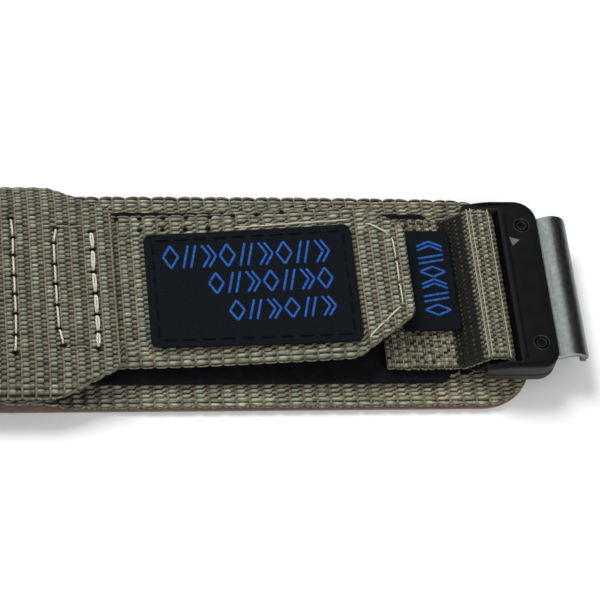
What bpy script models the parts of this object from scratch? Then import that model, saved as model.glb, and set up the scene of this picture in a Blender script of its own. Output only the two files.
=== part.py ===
"""Nylon watch strap with a hook-and-loop flap and two metal lug connectors.

The strap lies flat and is fastened at its smallest size. X runs along it, Y across it and Z up
from the table. The origin is on the table, midway between the two connector bars.
The base half is the padded strip on the right, with the loop tape on top. The closure half comes
from the left connector, passes over the pad and ends in the narrow flap, which carries the hook
tape and a woven patch. Each connector is a plastic housing of two shells that clamps a metal lug,
and turns on a round bar held in a loop of webbing.
"""

import math

import bmesh
import bpy
from mathutils import Matrix, Vector

# Overall sizes, in metres
BAR_SPAN = 0.1052
PAD_WIDTH = 0.035
NARROW_WIDTH = 0.0254
LAYER_GAP = 0.00025

# Cloth thicknesses
WIDE_THICKNESS = 0.0014
NARROW_THICKNESS = 0.0013
LOOP_TAPE_THICKNESS = 0.00055
HOOK_TAPE_THICKNESS = 0.00045
LABEL_THICKNESS = 0.0004

# Base half, measured from the axis of the right bar
PAD_OVERHANG = 0.006
PAD_REACH = 0.0782
PAD_CORNER = 0.0082
LOOP_TAPE_WIDTH = 0.0288
LOOP_TAPE_SETBACK = 0.0063
LOOP_TAPE_CORNER = 0.002
LOOP_TAPE_MARGIN = 0.0025

# Anchor loops round the two bars
TAB_REACH = 0.0159
RISE_LENGTH = 0.0046
BASE_LEG_LENGTH = 0.0037
CLOSURE_LEG_LENGTH = 0.0021
SIDE_LABEL_LENGTH = 0.0172
SIDE_LABEL_WIDTH = 0.0071
SIDE_LABEL_OFFSET = 0.0015
SIDE_LABEL_SETBACK = 0.0058
LABEL_CORNER = 0.0003

# Closure half
CLOSURE_END_SETBACK = 0.0541
CLOSURE_TAPER_LENGTH = 0.0091
CLOSURE_TAPER_DEPTH = 0.0051
CLOSURE_EDGE_DROOP = 0.0013
STEP_START_SETBACK = 0.0004
STEP_LENGTH = 0.0042
DESCENT_SETBACK = 0.002
DESCENT_LENGTH = 0.0082
FLAP_ROOT_LENGTH = 0.0183

# Flap, from its fold to its tip
FLAP_LENGTH = 0.0424
FLAP_SPLIT = 0.0003
FLAP_AXIS_SETBACK = 0.0004
FLAP_AXIS_RISE = 0.00095
TIP_LIFT = 0.0023
NEAR_CUT_LENGTH = 0.0091
NEAR_CUT_DEPTH = 0.0065
FAR_CUT_LENGTH = 0.006
FAR_CUT_DEPTH = 0.0042
HOOK_TAPE_MARGIN = 0.0009
PATCH_LENGTH = 0.0301
PATCH_WIDTH = 0.0187
PATCH_SETBACK = 0.0081
PATCH_CORNER = 0.0012

# Connector, in its own frame: x from the bar's axis towards the watch, z from the bar's axis
HOUSING_WIDTH = 0.0288
HOUSING_REACH = 0.009
HOUSING_CORNER = 0.0032
ARM_TAIL = 0.0019
ARM_THICKNESS = 0.0013
LOOP_SIDE_GAP = 0.0004
ARM_CORNER = 0.0005
SLOT_REACH = 0.0033
COVER_TOP = 0.00175
SHELL_SPLIT = 0.0001
BASE_THICKNESS = 0.0012
HOUSING_EDGE = 0.0002
BAR_RADIUS = 0.0008
BAR_END_WALL = 0.0005
BAR_CLEARANCE = 0.00015
BAR_LOOP_GAP = 0.00025
LOOP_CREST = 0.001
LEG_DIP = 0.00015

LUG_INSET = 0.0024
LUG_THICKNESS = 0.0009
LUG_TONGUE = 0.0043
LUG_REACH = 0.0139
LUG_CREST_RISE = 0.0008
LUG_LIP_DROP = 0.0014

SCREW_OFFSET = 0.0066
SCREW_INSET = 0.0043
SCREW_HEAD_RADIUS = 0.00078
SCREW_HEAD_HEIGHT = 0.00026
SCREW_HEAD_SINK = 0.00008
SCREW_SHANK_RADIUS = 0.0005
SCREW_CLEARANCE = 0.00012
SCREW_RECESS_RADIUS = 0.0011
SCREW_END_GAP = 0.0004
CROSS_WIDTH = 0.00022
CROSS_LENGTH = 0.00095
CROSS_DEPTH = 0.00014

DETENT_OFFSET = 0.01125
DETENT_LENGTH = 0.0049
DETENT_WIDTH = 0.0013
DETENT_PROUD = 0.0004
DETENT_CLEARANCE = 0.00012
DETENT_WALL = 0.0004
DETENT_EDGE = 0.0001
FLANGE_HEIGHT = 0.00025
FLANGE_OVERHANG = 0.00018
MOUTH_LIP = 0.00018
BOSS_DEPTH = 0.00085
POCKET_ROOF = 0.0003
SPRING_THICKNESS = 0.0001
SPRING_MARGIN = 0.0004
SPRING_GAP = 0.00006

# One overrun serves every cutter
OVERRUN = 0.001

# Heights of the layers above the table
PAD_TOP = WIDE_THICKNESS
LOOP_TAPE_BASE = PAD_TOP + LAYER_GAP
LOOP_TAPE_TOP = LOOP_TAPE_BASE + LOOP_TAPE_THICKNESS
HOOK_TAPE_BASE = LOOP_TAPE_TOP + LAYER_GAP
FLAP_BASE = HOOK_TAPE_BASE + HOOK_TAPE_THICKNESS + LAYER_GAP
FLAP_LEVEL = FLAP_BASE + NARROW_THICKNESS / 2
FLAP_TOP = FLAP_BASE + NARROW_THICKNESS
CLOSURE_HIGH = FLAP_TOP + LAYER_GAP + WIDE_THICKNESS / 2
CLOSURE_MID = LOOP_TAPE_TOP + LAYER_GAP + WIDE_THICKNESS / 2
CLOSURE_LOW = WIDE_THICKNESS / 2
LOOP_RADIUS = BAR_RADIUS + BAR_LOOP_GAP + NARROW_THICKNESS / 2
LEG_LEVEL = PAD_TOP + LAYER_GAP + NARROW_THICKNESS / 2
BAR_LEVEL = LEG_LEVEL + LEG_DIP + LOOP_RADIUS
BASE_TAB_LEVEL = LOOP_TAPE_TOP + LAYER_GAP + NARROW_THICKNESS / 2
CLOSURE_TAB_LEVEL = LEG_LEVEL

# Widths that follow the housing's
LOOP_WIDTH = HOUSING_WIDTH - 2 * (ARM_THICKNESS + LOOP_SIDE_GAP)
LUG_WIDTH = HOUSING_WIDTH - 2 * LUG_INSET
SCREW_SPACING = HOUSING_WIDTH - 2 * SCREW_INSET

# Places along the strap
BAR_X = BAR_SPAN / 2
PAD_RIGHT = BAR_X + PAD_OVERHANG
PAD_LEFT = BAR_X - PAD_REACH
LOOP_TAPE_RIGHT = BAR_X - LOOP_TAPE_SETBACK
LOOP_TAPE_LEFT = PAD_LEFT + LOOP_TAPE_MARGIN
CLOSURE_END = BAR_X - CLOSURE_END_SETBACK
CLOSURE_LEFT = -PAD_RIGHT
FLAP_START = CLOSURE_END + FLAP_SPLIT
FLAP_AXIS_X = CLOSURE_END + FLAP_AXIS_SETBACK
FLAP_AXIS_Z = FLAP_TOP + FLAP_AXIS_RISE
FLAP_TIP = FLAP_START + FLAP_LENGTH
FLAP_ROOT_LEFT = CLOSURE_END - FLAP_ROOT_LENGTH
PATCH_RIGHT = FLAP_TIP - PATCH_SETBACK
PATCH_LEFT = PATCH_RIGHT - PATCH_LENGTH

ARC_STEPS = 8
ROUND_STEPS = 24
SHARP_ANGLE = 30

# The flap's height over its length, as shares of its length and of its tip's lift
FLAP_RISE_SHARES = (
    (0.0, 0.0),
    (0.14, 0.0),
    (0.28, 0.06),
    (0.45, 0.24),
    (0.65, 0.45),
    (0.80, 0.66),
    (0.90, 0.93),
    (1.0, 1.0),
)

# The lug's middle line past the housing, as shares of its reach and of its crest's rise
LUG_ARCH_SHARES = (
    (0.0, 0.0),
    (0.16, 0.14),
    (0.34, 0.70),
    (0.54, 1.0),
    (0.74, 0.82),
    (0.90, 0.25),
)


def clear_scene():
    """Remove whatever the file already holds."""
    for thing in list(bpy.data.objects):
        bpy.data.objects.remove(thing, do_unlink=True)
    for group in list(bpy.data.collections):
        bpy.data.collections.remove(group)


def new_collection(name):
    """A collection of its own, linked to the scene."""
    group = bpy.data.collections.new(name)
    bpy.context.scene.collection.children.link(group)
    return group


def make_finish(name, colour, roughness, metallic=0.0):
    """A Principled material of one colour."""
    finish = bpy.data.materials.new(name)
    finish.use_nodes = True
    shader = finish.node_tree.nodes["Principled BSDF"]
    shader.inputs["Base Color"].default_value = (*colour, 1.0)
    shader.inputs["Roughness"].default_value = roughness
    shader.inputs["Metallic"].default_value = metallic
    finish.diffuse_color = (*colour, 1.0)
    return finish


def make_finishes():
    """Every finish of the strap, by name."""
    return {
        "olive_webbing": make_finish("olive_webbing", (0.21, 0.19, 0.13), 0.85),
        "loop_tape": make_finish("loop_tape", (0.008, 0.009, 0.011), 0.95),
        "hook_tape": make_finish("hook_tape", (0.010, 0.011, 0.013), 0.7),
        "woven_label": make_finish("woven_label", (0.012, 0.013, 0.016), 0.8),
        "matte_housing": make_finish("matte_housing", (0.014, 0.014, 0.016), 0.5),
        "gunmetal": make_finish("gunmetal", (0.24, 0.26, 0.26), 0.35, 1.0),
        "black_steel": make_finish("black_steel", (0.03, 0.03, 0.032), 0.4, 1.0),
        "spring_steel": make_finish("spring_steel", (0.5, 0.5, 0.5), 0.3, 1.0),
    }


def smooth_step(value):
    """0 to 1 with level ends, for a value between 0 and 1."""
    held = min(1.0, max(0.0, value))
    return held * held * (3.0 - 2.0 * held)


def curve_through(points, steps):
    """Points on a smooth curve through the given (x, z) points, with steps points a span."""
    ends = [points[0]] + list(points) + [points[-1]]
    line = []
    for index in range(1, len(ends) - 2):
        before, start, end, after = (Vector(ends[index + shift]) for shift in (-1, 0, 1, 2))
        for step in range(steps):
            t = step / steps
            line.append(0.5 * (
                2 * start
                + (end - before) * t
                + (2 * before - 5 * start + 4 * end - after) * t ** 2
                + (3 * start - before - 3 * end + after) * t ** 3
            ))
    line.append(Vector(points[-1]))
    return [(point.x, point.y) for point in line]


def rounded_end_stations(low, high, corner, inner=()):
    """x places from low to high, close together over the rounded corners at both ends."""
    arc = [corner * (1.0 - math.cos(math.pi / 2 * step / ARC_STEPS)) for step in range(ARC_STEPS + 1)]
    start = [low + offset for offset in arc]
    end = [high - offset for offset in reversed(arc)]
    middle = [x for x in inner if start[-1] < x < end[0]]
    return start + middle + end


def rounded_half_width(x, low, high, half_width, corner):
    """Half the width at x of a strip whose four corners are rounded."""
    inset = max(low + corner - x, x - (high - corner), 0.0)
    inset = min(inset, corner)
    return half_width - corner + math.sqrt(corner ** 2 - inset ** 2)


def woven_strip(name, finish, line, edges_at, thickness, across, group, droop_at=None):
    """A strip of cloth or sheet: an open grid along an (x, z) line, given body by Solidify.

    edges_at(x, share) gives the near and far edge, and droop_at(x, y) how far the strip hangs
    below its line there.
    """
    mesh = bpy.data.meshes.new(name)
    grid = bmesh.new()
    spans = len(line) - 1
    bmesh.ops.create_grid(grid, x_segments=spans, y_segments=across, size=1.0)
    for vert in grid.verts:
        station = round((vert.co.x + 1.0) / 2.0 * spans)
        x, z = line[station]
        near, far = edges_at(x, station / spans)
        y = near + (far - near) * (vert.co.y + 1.0) / 2.0
        drop = droop_at(x, y) if droop_at else 0.0
        vert.co = Vector((x, y, z - drop))
    grid.to_mesh(mesh)
    grid.free()
    strip = bpy.data.objects.new(name, mesh)
    group.objects.link(strip)
    mesh.materials.append(finish)
    body = strip.modifiers.new("body", "SOLIDIFY")
    body.thickness = thickness
    body.offset = 0.0
    body.use_even_offset = True
    return strip


def arc_points(centre, radius, start, end):
    """Points on an arc round centre, in degrees."""
    points = []
    for step in range(ARC_STEPS + 1):
        angle = math.radians(start + (end - start) * step / ARC_STEPS)
        points.append((centre[0] + radius * math.cos(angle), centre[1] + radius * math.sin(angle)))
    return points


def slab(name, finish, outline, low, high, group):
    """A flat outline extruded along z from low to high."""
    curve = bpy.data.curves.new(name, "CURVE")
    curve.dimensions = "2D"
    curve.fill_mode = "BOTH"
    curve.extrude = (high - low) / 2
    spline = curve.splines.new("POLY")
    spline.points.add(len(outline) - 1)
    for point, (across, along) in zip(spline.points, outline):
        point.co = (across, along, 0.0, 1.0)
    spline.use_cyclic_u = True
    drawn = bpy.data.objects.new(name + "_outline", curve)
    group.objects.link(drawn)
    depsgraph = bpy.context.evaluated_depsgraph_get()
    mesh = bpy.data.meshes.new_from_object(drawn.evaluated_get(depsgraph))
    mesh.name = name
    bpy.data.objects.remove(drawn, do_unlink=True)
    bpy.data.curves.remove(curve)
    body = bmesh.new()
    body.from_mesh(mesh)
    bmesh.ops.remove_doubles(body, verts=body.verts, dist=HOUSING_EDGE / 100)
    bmesh.ops.translate(body, verts=body.verts, vec=Vector((0.0, 0.0, (low + high) / 2)))
    bmesh.ops.recalc_face_normals(body, faces=body.faces)
    body.to_mesh(mesh)
    body.free()
    piece = bpy.data.objects.new(name, mesh)
    group.objects.link(piece)
    mesh.materials.clear()
    if finish:
        mesh.materials.append(finish)
    return piece


def block(name, finish, low, high, group):
    """A box between two corners."""
    mesh = bpy.data.meshes.new(name)
    body = bmesh.new()
    bmesh.ops.create_cube(body, size=1.0)
    low, high = Vector(low), Vector(high)
    size, middle = high - low, (low + high) / 2
    for vert in body.verts:
        vert.co = Vector(a * b for a, b in zip(vert.co, size)) + middle
    body.to_mesh(mesh)
    body.free()
    piece = bpy.data.objects.new(name, mesh)
    group.objects.link(piece)
    if finish:
        mesh.materials.append(finish)
    return piece


def round_pin(name, finish, centre, radius, low, high, group, lying=False):
    """A round pin from low to high: along z, or along y when it lies across the strap."""
    mesh = bpy.data.meshes.new(name)
    body = bmesh.new()
    bmesh.ops.create_cone(
        body, cap_ends=True, segments=ROUND_STEPS, radius1=radius, radius2=radius, depth=high - low)
    bmesh.ops.translate(body, verts=body.verts, vec=Vector((centre[0], centre[1], (low + high) / 2)))
    if lying:
        bmesh.ops.rotate(body, verts=body.verts, matrix=Matrix.Rotation(math.pi / 2, 3, "X"))
    body.to_mesh(mesh)
    body.free()
    mesh.shade_smooth()
    mesh.set_sharp_from_angle(angle=math.radians(SHARP_ANGLE))
    piece = bpy.data.objects.new(name, mesh)
    group.objects.link(piece)
    if finish:
        mesh.materials.append(finish)
    return piece


def cut(piece, cutter):
    """Take the cutter's shape out of the piece."""
    combine(piece, cutter, "DIFFERENCE")


def combine(piece, tool, operation):
    """One exact Boolean, with the tool kept out of the render."""
    tool.hide_render = True
    tool.display_type = "WIRE"
    step = piece.modifiers.new(tool.name, "BOOLEAN")
    step.operation = operation
    step.solver = "EXACT"
    step.object = tool


def round_edges(piece, width):
    """Break the sharp edges by a small round."""
    edge = piece.modifiers.new("edges", "BEVEL")
    edge.width = width
    edge.segments = 2
    edge.limit_method = "ANGLE"


def hang_on(parent, pieces):
    """Parent pieces to an empty whose frame their meshes are written in."""
    for piece in pieces:
        piece.parent = parent


def base_pad(finish, group):
    """The wide strip that lies against the wrist, with rounded corners."""
    stations = rounded_end_stations(PAD_LEFT, PAD_RIGHT, PAD_CORNER)

    def edges_at(x, _share):
        half = rounded_half_width(x, PAD_LEFT, PAD_RIGHT, PAD_WIDTH / 2, PAD_CORNER)
        return -half, half

    line = [(x, PAD_TOP / 2) for x in stations]
    return woven_strip("base_pad", finish, line, edges_at, WIDE_THICKNESS, 2, group)


def loop_tape(finish, group):
    """The soft tape sewn on the pad."""
    stations = rounded_end_stations(LOOP_TAPE_LEFT, LOOP_TAPE_RIGHT, LOOP_TAPE_CORNER)

    def edges_at(x, _share):
        half = rounded_half_width(
            x, LOOP_TAPE_LEFT, LOOP_TAPE_RIGHT, LOOP_TAPE_WIDTH / 2, LOOP_TAPE_CORNER)
        return -half, half

    level = LOOP_TAPE_BASE + LOOP_TAPE_THICKNESS / 2
    line = [(x, level) for x in stations]
    return woven_strip("loop_tape", finish, line, edges_at, LOOP_TAPE_THICKNESS, 2, group)


def anchor_loop(name, finish, tab_level, leg_length, group):
    """Narrow webbing folded round a bar, drawn in the connector's frame, tab towards -x."""
    half_flat = LOOP_CREST / 2
    tab = tab_level - BAR_LEVEL
    leg = LEG_LEVEL - BAR_LEVEL
    rise_start = -half_flat - RISE_LENGTH
    tab_steps = 4
    line = [(-TAB_REACH + (rise_start + TAB_REACH) * step / tab_steps, tab) for step in range(tab_steps)]
    rise_steps = 2 * ARC_STEPS
    for step in range(rise_steps):
        share = step / rise_steps
        height = tab + (LOOP_RADIUS - tab) * smooth_step(share)
        line.append((rise_start + RISE_LENGTH * share, height))
    line.append((-half_flat, LOOP_RADIUS))
    for x, z in arc_points((half_flat, 0.0), LOOP_RADIUS, 90, -90):
        line.append((x, z))
    leg_steps = 3
    for step in range(1, leg_steps + 1):
        share = step / leg_steps
        height = -LOOP_RADIUS + (leg + LOOP_RADIUS) * smooth_step(share)
        line.append((half_flat - leg_length * share, height))
    half = LOOP_WIDTH / 2

    def edges_at(_x, _share):
        return -half, half

    return woven_strip(name, finish, line, edges_at, NARROW_THICKNESS, 2, group)


def side_label(finish, group):
    """The woven label sewn across the right tab."""
    right = BAR_X - SIDE_LABEL_SETBACK
    left = right - SIDE_LABEL_WIDTH
    near = SIDE_LABEL_OFFSET - SIDE_LABEL_LENGTH / 2
    far = SIDE_LABEL_OFFSET + SIDE_LABEL_LENGTH / 2
    stations = rounded_end_stations(left, right, LABEL_CORNER)

    def edges_at(x, _share):
        half = rounded_half_width(x, left, right, (far - near) / 2, LABEL_CORNER)
        return SIDE_LABEL_OFFSET - half, SIDE_LABEL_OFFSET + half

    level = BASE_TAB_LEVEL + NARROW_THICKNESS / 2 + LAYER_GAP + LABEL_THICKNESS / 2
    line = [(x, level) for x in stations]
    return woven_strip("side_label", finish, line, edges_at, LABEL_THICKNESS, 2, group)


def closure_level(x):
    """Height of the closure webbing's middle: on the table, over the pad, then over the flap."""
    step_start = FLAP_ROOT_LEFT - STEP_START_SETBACK
    up_to_mid = smooth_step((x - (PAD_LEFT - DESCENT_SETBACK - DESCENT_LENGTH)) / DESCENT_LENGTH)
    up_to_high = smooth_step((x - (step_start - STEP_LENGTH)) / STEP_LENGTH)
    level = CLOSURE_LOW + (CLOSURE_MID - CLOSURE_LOW) * up_to_mid
    return level + (CLOSURE_HIGH - CLOSURE_MID) * up_to_high


def closure_webbing(finish, group):
    """The wide strip of the closure half, from under the left connector to its tapered end."""
    step_start = FLAP_ROOT_LEFT - STEP_START_SETBACK
    taper_start = CLOSURE_END - CLOSURE_TAPER_LENGTH
    descent_end = PAD_LEFT - DESCENT_SETBACK
    descent_start = descent_end - DESCENT_LENGTH
    corner = [PAD_CORNER * (1.0 - math.cos(math.pi / 2 * k / ARC_STEPS)) for k in range(ARC_STEPS + 1)]
    stations = [CLOSURE_LEFT + offset for offset in corner]
    stations += [descent_start + DESCENT_LENGTH * k / ARC_STEPS for k in range(ARC_STEPS + 1)]
    stations += [step_start - STEP_LENGTH + STEP_LENGTH * k / ARC_STEPS for k in range(ARC_STEPS + 1)]
    stations += [taper_start, (taper_start + CLOSURE_END) / 2, CLOSURE_END]
    stations.sort()
    half_width = PAD_WIDTH / 2

    def edges_at(x, _share):
        half = half_width
        if x < CLOSURE_LEFT + PAD_CORNER:
            inset = CLOSURE_LEFT + PAD_CORNER - x
            half = half_width - PAD_CORNER + math.sqrt(max(0.0, PAD_CORNER ** 2 - inset ** 2))
        if x > taper_start:
            half = half_width - CLOSURE_TAPER_DEPTH * (x - taper_start) / CLOSURE_TAPER_LENGTH
        return -half, half

    flap_edge = NARROW_WIDTH / 2 + LAYER_GAP

    def droop_at(x, y):
        over_flap = smooth_step((x - (step_start - STEP_LENGTH)) / STEP_LENGTH)
        outside = smooth_step((abs(y) - flap_edge) / (half_width - flap_edge))
        return CLOSURE_EDGE_DROOP * over_flap * outside

    line = [(x, closure_level(x)) for x in stations]
    across = 16
    return woven_strip(
        "closure_webbing", finish, line, edges_at, WIDE_THICKNESS, across, group, droop_at)


def flap_root(finish, group):
    """The end of the flap's webbing that is sewn in under the closure webbing."""
    half = NARROW_WIDTH / 2

    def edges_at(_x, _share):
        return -half, half

    line = [(FLAP_ROOT_LEFT, FLAP_LEVEL), (CLOSURE_END, FLAP_LEVEL)]
    return woven_strip("flap_root", finish, line, edges_at, NARROW_THICKNESS, 2, group)


def flap_line():
    """The flap's middle line from its fold to its tip, which rides up over the tab."""
    points = [(FLAP_START + FLAP_LENGTH * along, FLAP_LEVEL + TIP_LIFT * rise)
              for along, rise in FLAP_RISE_SHARES]
    return curve_through(points, 3)


def level_on(line, x):
    """Height of a line at x, read between its points."""
    for (x0, z0), (x1, z1) in zip(line, line[1:]):
        if x <= x1:
            return z0 + (z1 - z0) * (x - x0) / (x1 - x0)
    return line[-1][1]


def flap_edges(x, margin=0.0):
    """Near and far edge of the flap at x, with its two cut corners, less a margin."""
    half = NARROW_WIDTH / 2 - margin
    tip = FLAP_TIP - margin
    near_cut = max(0.0, (x - (tip - NEAR_CUT_LENGTH)) / NEAR_CUT_LENGTH) * NEAR_CUT_DEPTH
    far_cut = max(0.0, (x - (tip - FAR_CUT_LENGTH)) / FAR_CUT_LENGTH) * FAR_CUT_DEPTH
    return near_cut - half, half - far_cut


def flap_webbing(finish, group):
    """The narrow flap, as far as it peels up."""
    return woven_strip("flap_webbing", finish, flap_line(), lambda x, _share: flap_edges(x),
                       NARROW_THICKNESS, 2, group)


def hook_tape(finish, group):
    """The hook tape under the flap."""
    line = flap_line()
    drop = NARROW_THICKNESS / 2 + LAYER_GAP + HOOK_TAPE_THICKNESS / 2
    tip = FLAP_TIP - HOOK_TAPE_MARGIN
    below = [(x, z - drop) for x, z in line if x < tip - HOOK_TAPE_MARGIN]
    below.append((tip, level_on(line, tip) - drop))
    return woven_strip("hook_tape", finish, below, lambda x, _share: flap_edges(x, HOOK_TAPE_MARGIN),
                       HOOK_TAPE_THICKNESS, 2, group)


def label_patch(finish, group):
    """The woven patch on top of the flap."""
    line = flap_line()
    lift = NARROW_THICKNESS / 2 + LAYER_GAP + LABEL_THICKNESS / 2
    inner = [x for x, _z in line]
    stations = rounded_end_stations(PATCH_LEFT, PATCH_RIGHT, PATCH_CORNER, inner)
    above = [(x, level_on(line, x) + lift) for x in stations]

    def edges_at(x, _share):
        half = rounded_half_width(x, PATCH_LEFT, PATCH_RIGHT, PATCH_WIDTH / 2, PATCH_CORNER)
        return -half, half

    return woven_strip("label_patch", finish, above, edges_at, LABEL_THICKNESS, 2, group)


def housing_outline():
    """Plan of a housing shell: two arms towards -x, and a body with two rounded corners."""
    half = HOUSING_WIDTH / 2
    inner = half - ARM_THICKNESS
    right = HOUSING_REACH - HOUSING_CORNER
    side = half - HOUSING_CORNER
    tail = -ARM_TAIL + ARM_CORNER
    outline = arc_points((right, side), HOUSING_CORNER, 0, 90)
    outline += arc_points((tail, half - ARM_CORNER), ARM_CORNER, 90, 180)
    outline += [(-ARM_TAIL, inner), (SLOT_REACH, inner)]
    return outline + [(x, -y) for x, y in reversed(outline)]


def lug_line():
    """Middle line of the metal lug: a flat tongue, an arch and a lip that turns down."""
    tongue_level = -SHELL_SPLIT + LUG_THICKNESS / 2
    start = HOUSING_REACH - LUG_TONGUE
    reach = LUG_REACH - LUG_THICKNESS / 2 - HOUSING_REACH
    arch = [(HOUSING_REACH + reach * along, tongue_level + LUG_CREST_RISE * rise)
            for along, rise in LUG_ARCH_SHARES]
    lip_end = tongue_level + LUG_CREST_RISE - LUG_LIP_DROP - LUG_THICKNESS / 2
    arch.append((HOUSING_REACH + reach, (tongue_level + lip_end) / 2))
    return [(start, tongue_level)] + curve_through(arch, 3) + [(HOUSING_REACH + reach, lip_end)]


def screw_places():
    """Centres of the two screws."""
    half = SCREW_SPACING / 2
    return {"near": (SCREW_OFFSET, -half), "far": (SCREW_OFFSET, half)}


def housing_shells(side, finish, group, cutters):
    """The cover and the base, with the bar's pockets, the lug's bed and the screw holes."""
    outline = housing_outline()
    base_top = -SHELL_SPLIT - LAYER_GAP
    base_bottom = base_top - BASE_THICKNESS
    cover = slab(side + "_housing_cover", finish, outline, -SHELL_SPLIT, COVER_TOP, group)
    base = slab(side + "_housing_base", finish, outline, base_bottom, base_top, group)
    bar_end = HOUSING_WIDTH / 2 - BAR_END_WALL + BAR_CLEARANCE
    pocket = round_pin(side + "_bar_pocket", None, (0.0, 0.0), BAR_RADIUS + BAR_CLEARANCE,
                       -bar_end, bar_end, cutters, True)
    lug_half = LUG_WIDTH / 2 + LAYER_GAP
    bed = block(
        side + "_lug_bed", None,
        (HOUSING_REACH - LUG_TONGUE - LAYER_GAP, -lug_half, -SHELL_SPLIT - OVERRUN / 2),
        (HOUSING_REACH + OVERRUN, lug_half, LUG_THICKNESS - SHELL_SPLIT + LAYER_GAP), cutters)
    for shell in (cover, base):
        round_edges(shell, HOUSING_EDGE)
        cut(shell, pocket)
    cut(cover, bed)
    hole = SCREW_SHANK_RADIUS + SCREW_CLEARANCE
    recess_floor = COVER_TOP - SCREW_HEAD_SINK - SCREW_HEAD_HEIGHT - SCREW_CLEARANCE
    tools = [pocket, bed]
    for name, centre in screw_places().items():
        bore = round_pin(side + "_bore_" + name, None, centre, hole,
                         base_bottom - OVERRUN, COVER_TOP + OVERRUN, cutters)
        recess = round_pin(side + "_recess_" + name, None, centre, SCREW_RECESS_RADIUS,
                           recess_floor, COVER_TOP + OVERRUN, cutters)
        cut(cover, bore)
        cut(base, bore)
        cut(cover, recess)
        tools += [bore, recess]
    return [cover, base], tools


def connector_bar(side, finish, group):
    """The round bar that the connector turns on inside the webbing loop."""
    half = HOUSING_WIDTH / 2 - BAR_END_WALL
    return round_pin(side + "_bar", finish, (0.0, 0.0), BAR_RADIUS, -half, half, group, True)


def lug_hook(side, finish, group, cutters):
    """The metal lug, with the boss that guides its detent and holes for the screws."""
    half = LUG_WIDTH / 2
    lug = woven_strip(side + "_lug_hook", finish, lug_line(), lambda _x, _share: (-half, half),
                      LUG_THICKNESS, 2, group)
    stem = DETENT_WIDTH / 2 + DETENT_CLEARANCE
    stem_half = DETENT_LENGTH / 2 + DETENT_CLEARANCE
    wide = stem + FLANGE_OVERHANG
    wide_half = stem_half + FLANGE_OVERHANG
    boss_half = wide + DETENT_WALL
    roof = pocket_roof()
    boss = block(
        side + "_boss", None,
        (DETENT_OFFSET - boss_half, -wide_half - DETENT_WALL, -BOSS_DEPTH),
        (DETENT_OFFSET + boss_half, wide_half + DETENT_WALL, roof + POCKET_ROOF), cutters)
    pocket = block(
        side + "_detent_pocket", None,
        (DETENT_OFFSET - wide, -wide_half, -BOSS_DEPTH + MOUTH_LIP),
        (DETENT_OFFSET + wide, wide_half, roof), cutters)
    mouth = block(
        side + "_detent_mouth", None,
        (DETENT_OFFSET - stem, -stem_half, -BOSS_DEPTH - OVERRUN),
        (DETENT_OFFSET + stem, stem_half, roof - FLANGE_HEIGHT), cutters)
    combine(lug, boss, "UNION")
    cut(lug, pocket)
    cut(lug, mouth)
    tools = [boss, pocket, mouth]
    hole = SCREW_SHANK_RADIUS + SCREW_CLEARANCE
    for name, centre in screw_places().items():
        bore = round_pin(side + "_lug_bore_" + name, None, centre, hole,
                         -SHELL_SPLIT - OVERRUN, LUG_THICKNESS + OVERRUN, cutters)
        cut(lug, bore)
        tools.append(bore)
    return lug, tools


def pocket_roof():
    """Height of the roof of the detent's pocket, inside the lug's arch."""
    crest = -SHELL_SPLIT + LUG_CREST_RISE + LUG_THICKNESS
    return crest - POCKET_ROOF - LUG_THICKNESS / 2 - DETENT_CLEARANCE


def detent_top():
    """Height of the detent button's upper face at rest, its flange just above the mouth's lip."""
    return -BOSS_DEPTH + MOUTH_LIP + DETENT_CLEARANCE + FLANGE_HEIGHT


def detent_button(side, finish, group, cutters):
    """The sprung button that locks the lug in the watch's groove, kept in by its flange."""
    half_width = DETENT_WIDTH / 2
    half = DETENT_LENGTH / 2
    top = detent_top()
    button = block(
        side + "_detent_button", finish,
        (DETENT_OFFSET - half_width, -half, -BOSS_DEPTH - DETENT_PROUD),
        (DETENT_OFFSET + half_width, half, top - FLANGE_HEIGHT / 2), group)
    round_edges(button, DETENT_EDGE)
    flange = block(
        side + "_detent_flange", None,
        (DETENT_OFFSET - half_width - FLANGE_OVERHANG, -half - FLANGE_OVERHANG, top - FLANGE_HEIGHT),
        (DETENT_OFFSET + half_width + FLANGE_OVERHANG, half + FLANGE_OVERHANG, top), cutters)
    combine(button, flange, "UNION")
    return button, [flange]


def detent_spring(side, finish, group):
    """A bowed leaf between the button and the roof of its pocket, drawn along y."""
    low = detent_top() + SPRING_GAP + SPRING_THICKNESS / 2
    high = pocket_roof() - SPRING_GAP - SPRING_THICKNESS / 2
    half = DETENT_LENGTH / 2 - SPRING_MARGIN
    steps = 2 * ARC_STEPS
    width = DETENT_WIDTH - SPRING_MARGIN
    line = []
    for step in range(steps + 1):
        share = 2.0 * step / steps - 1.0
        line.append((half * share, low + (high - low) * (1.0 - share ** 2)))
    leaf = woven_strip(side + "_detent_spring", finish, line, lambda _x, _share: (-width / 2, width / 2),
                       SPRING_THICKNESS, 1, group)
    leaf.data.transform(quarter_turn())
    leaf.data.update()
    return leaf


def quarter_turn():
    """A quarter turn about z that lays the leaf across the strap, over the detent."""
    turn = Matrix.Rotation(math.pi / 2, 4, "Z")
    return Matrix.Translation((DETENT_OFFSET, 0.0, 0.0)) @ turn


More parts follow.
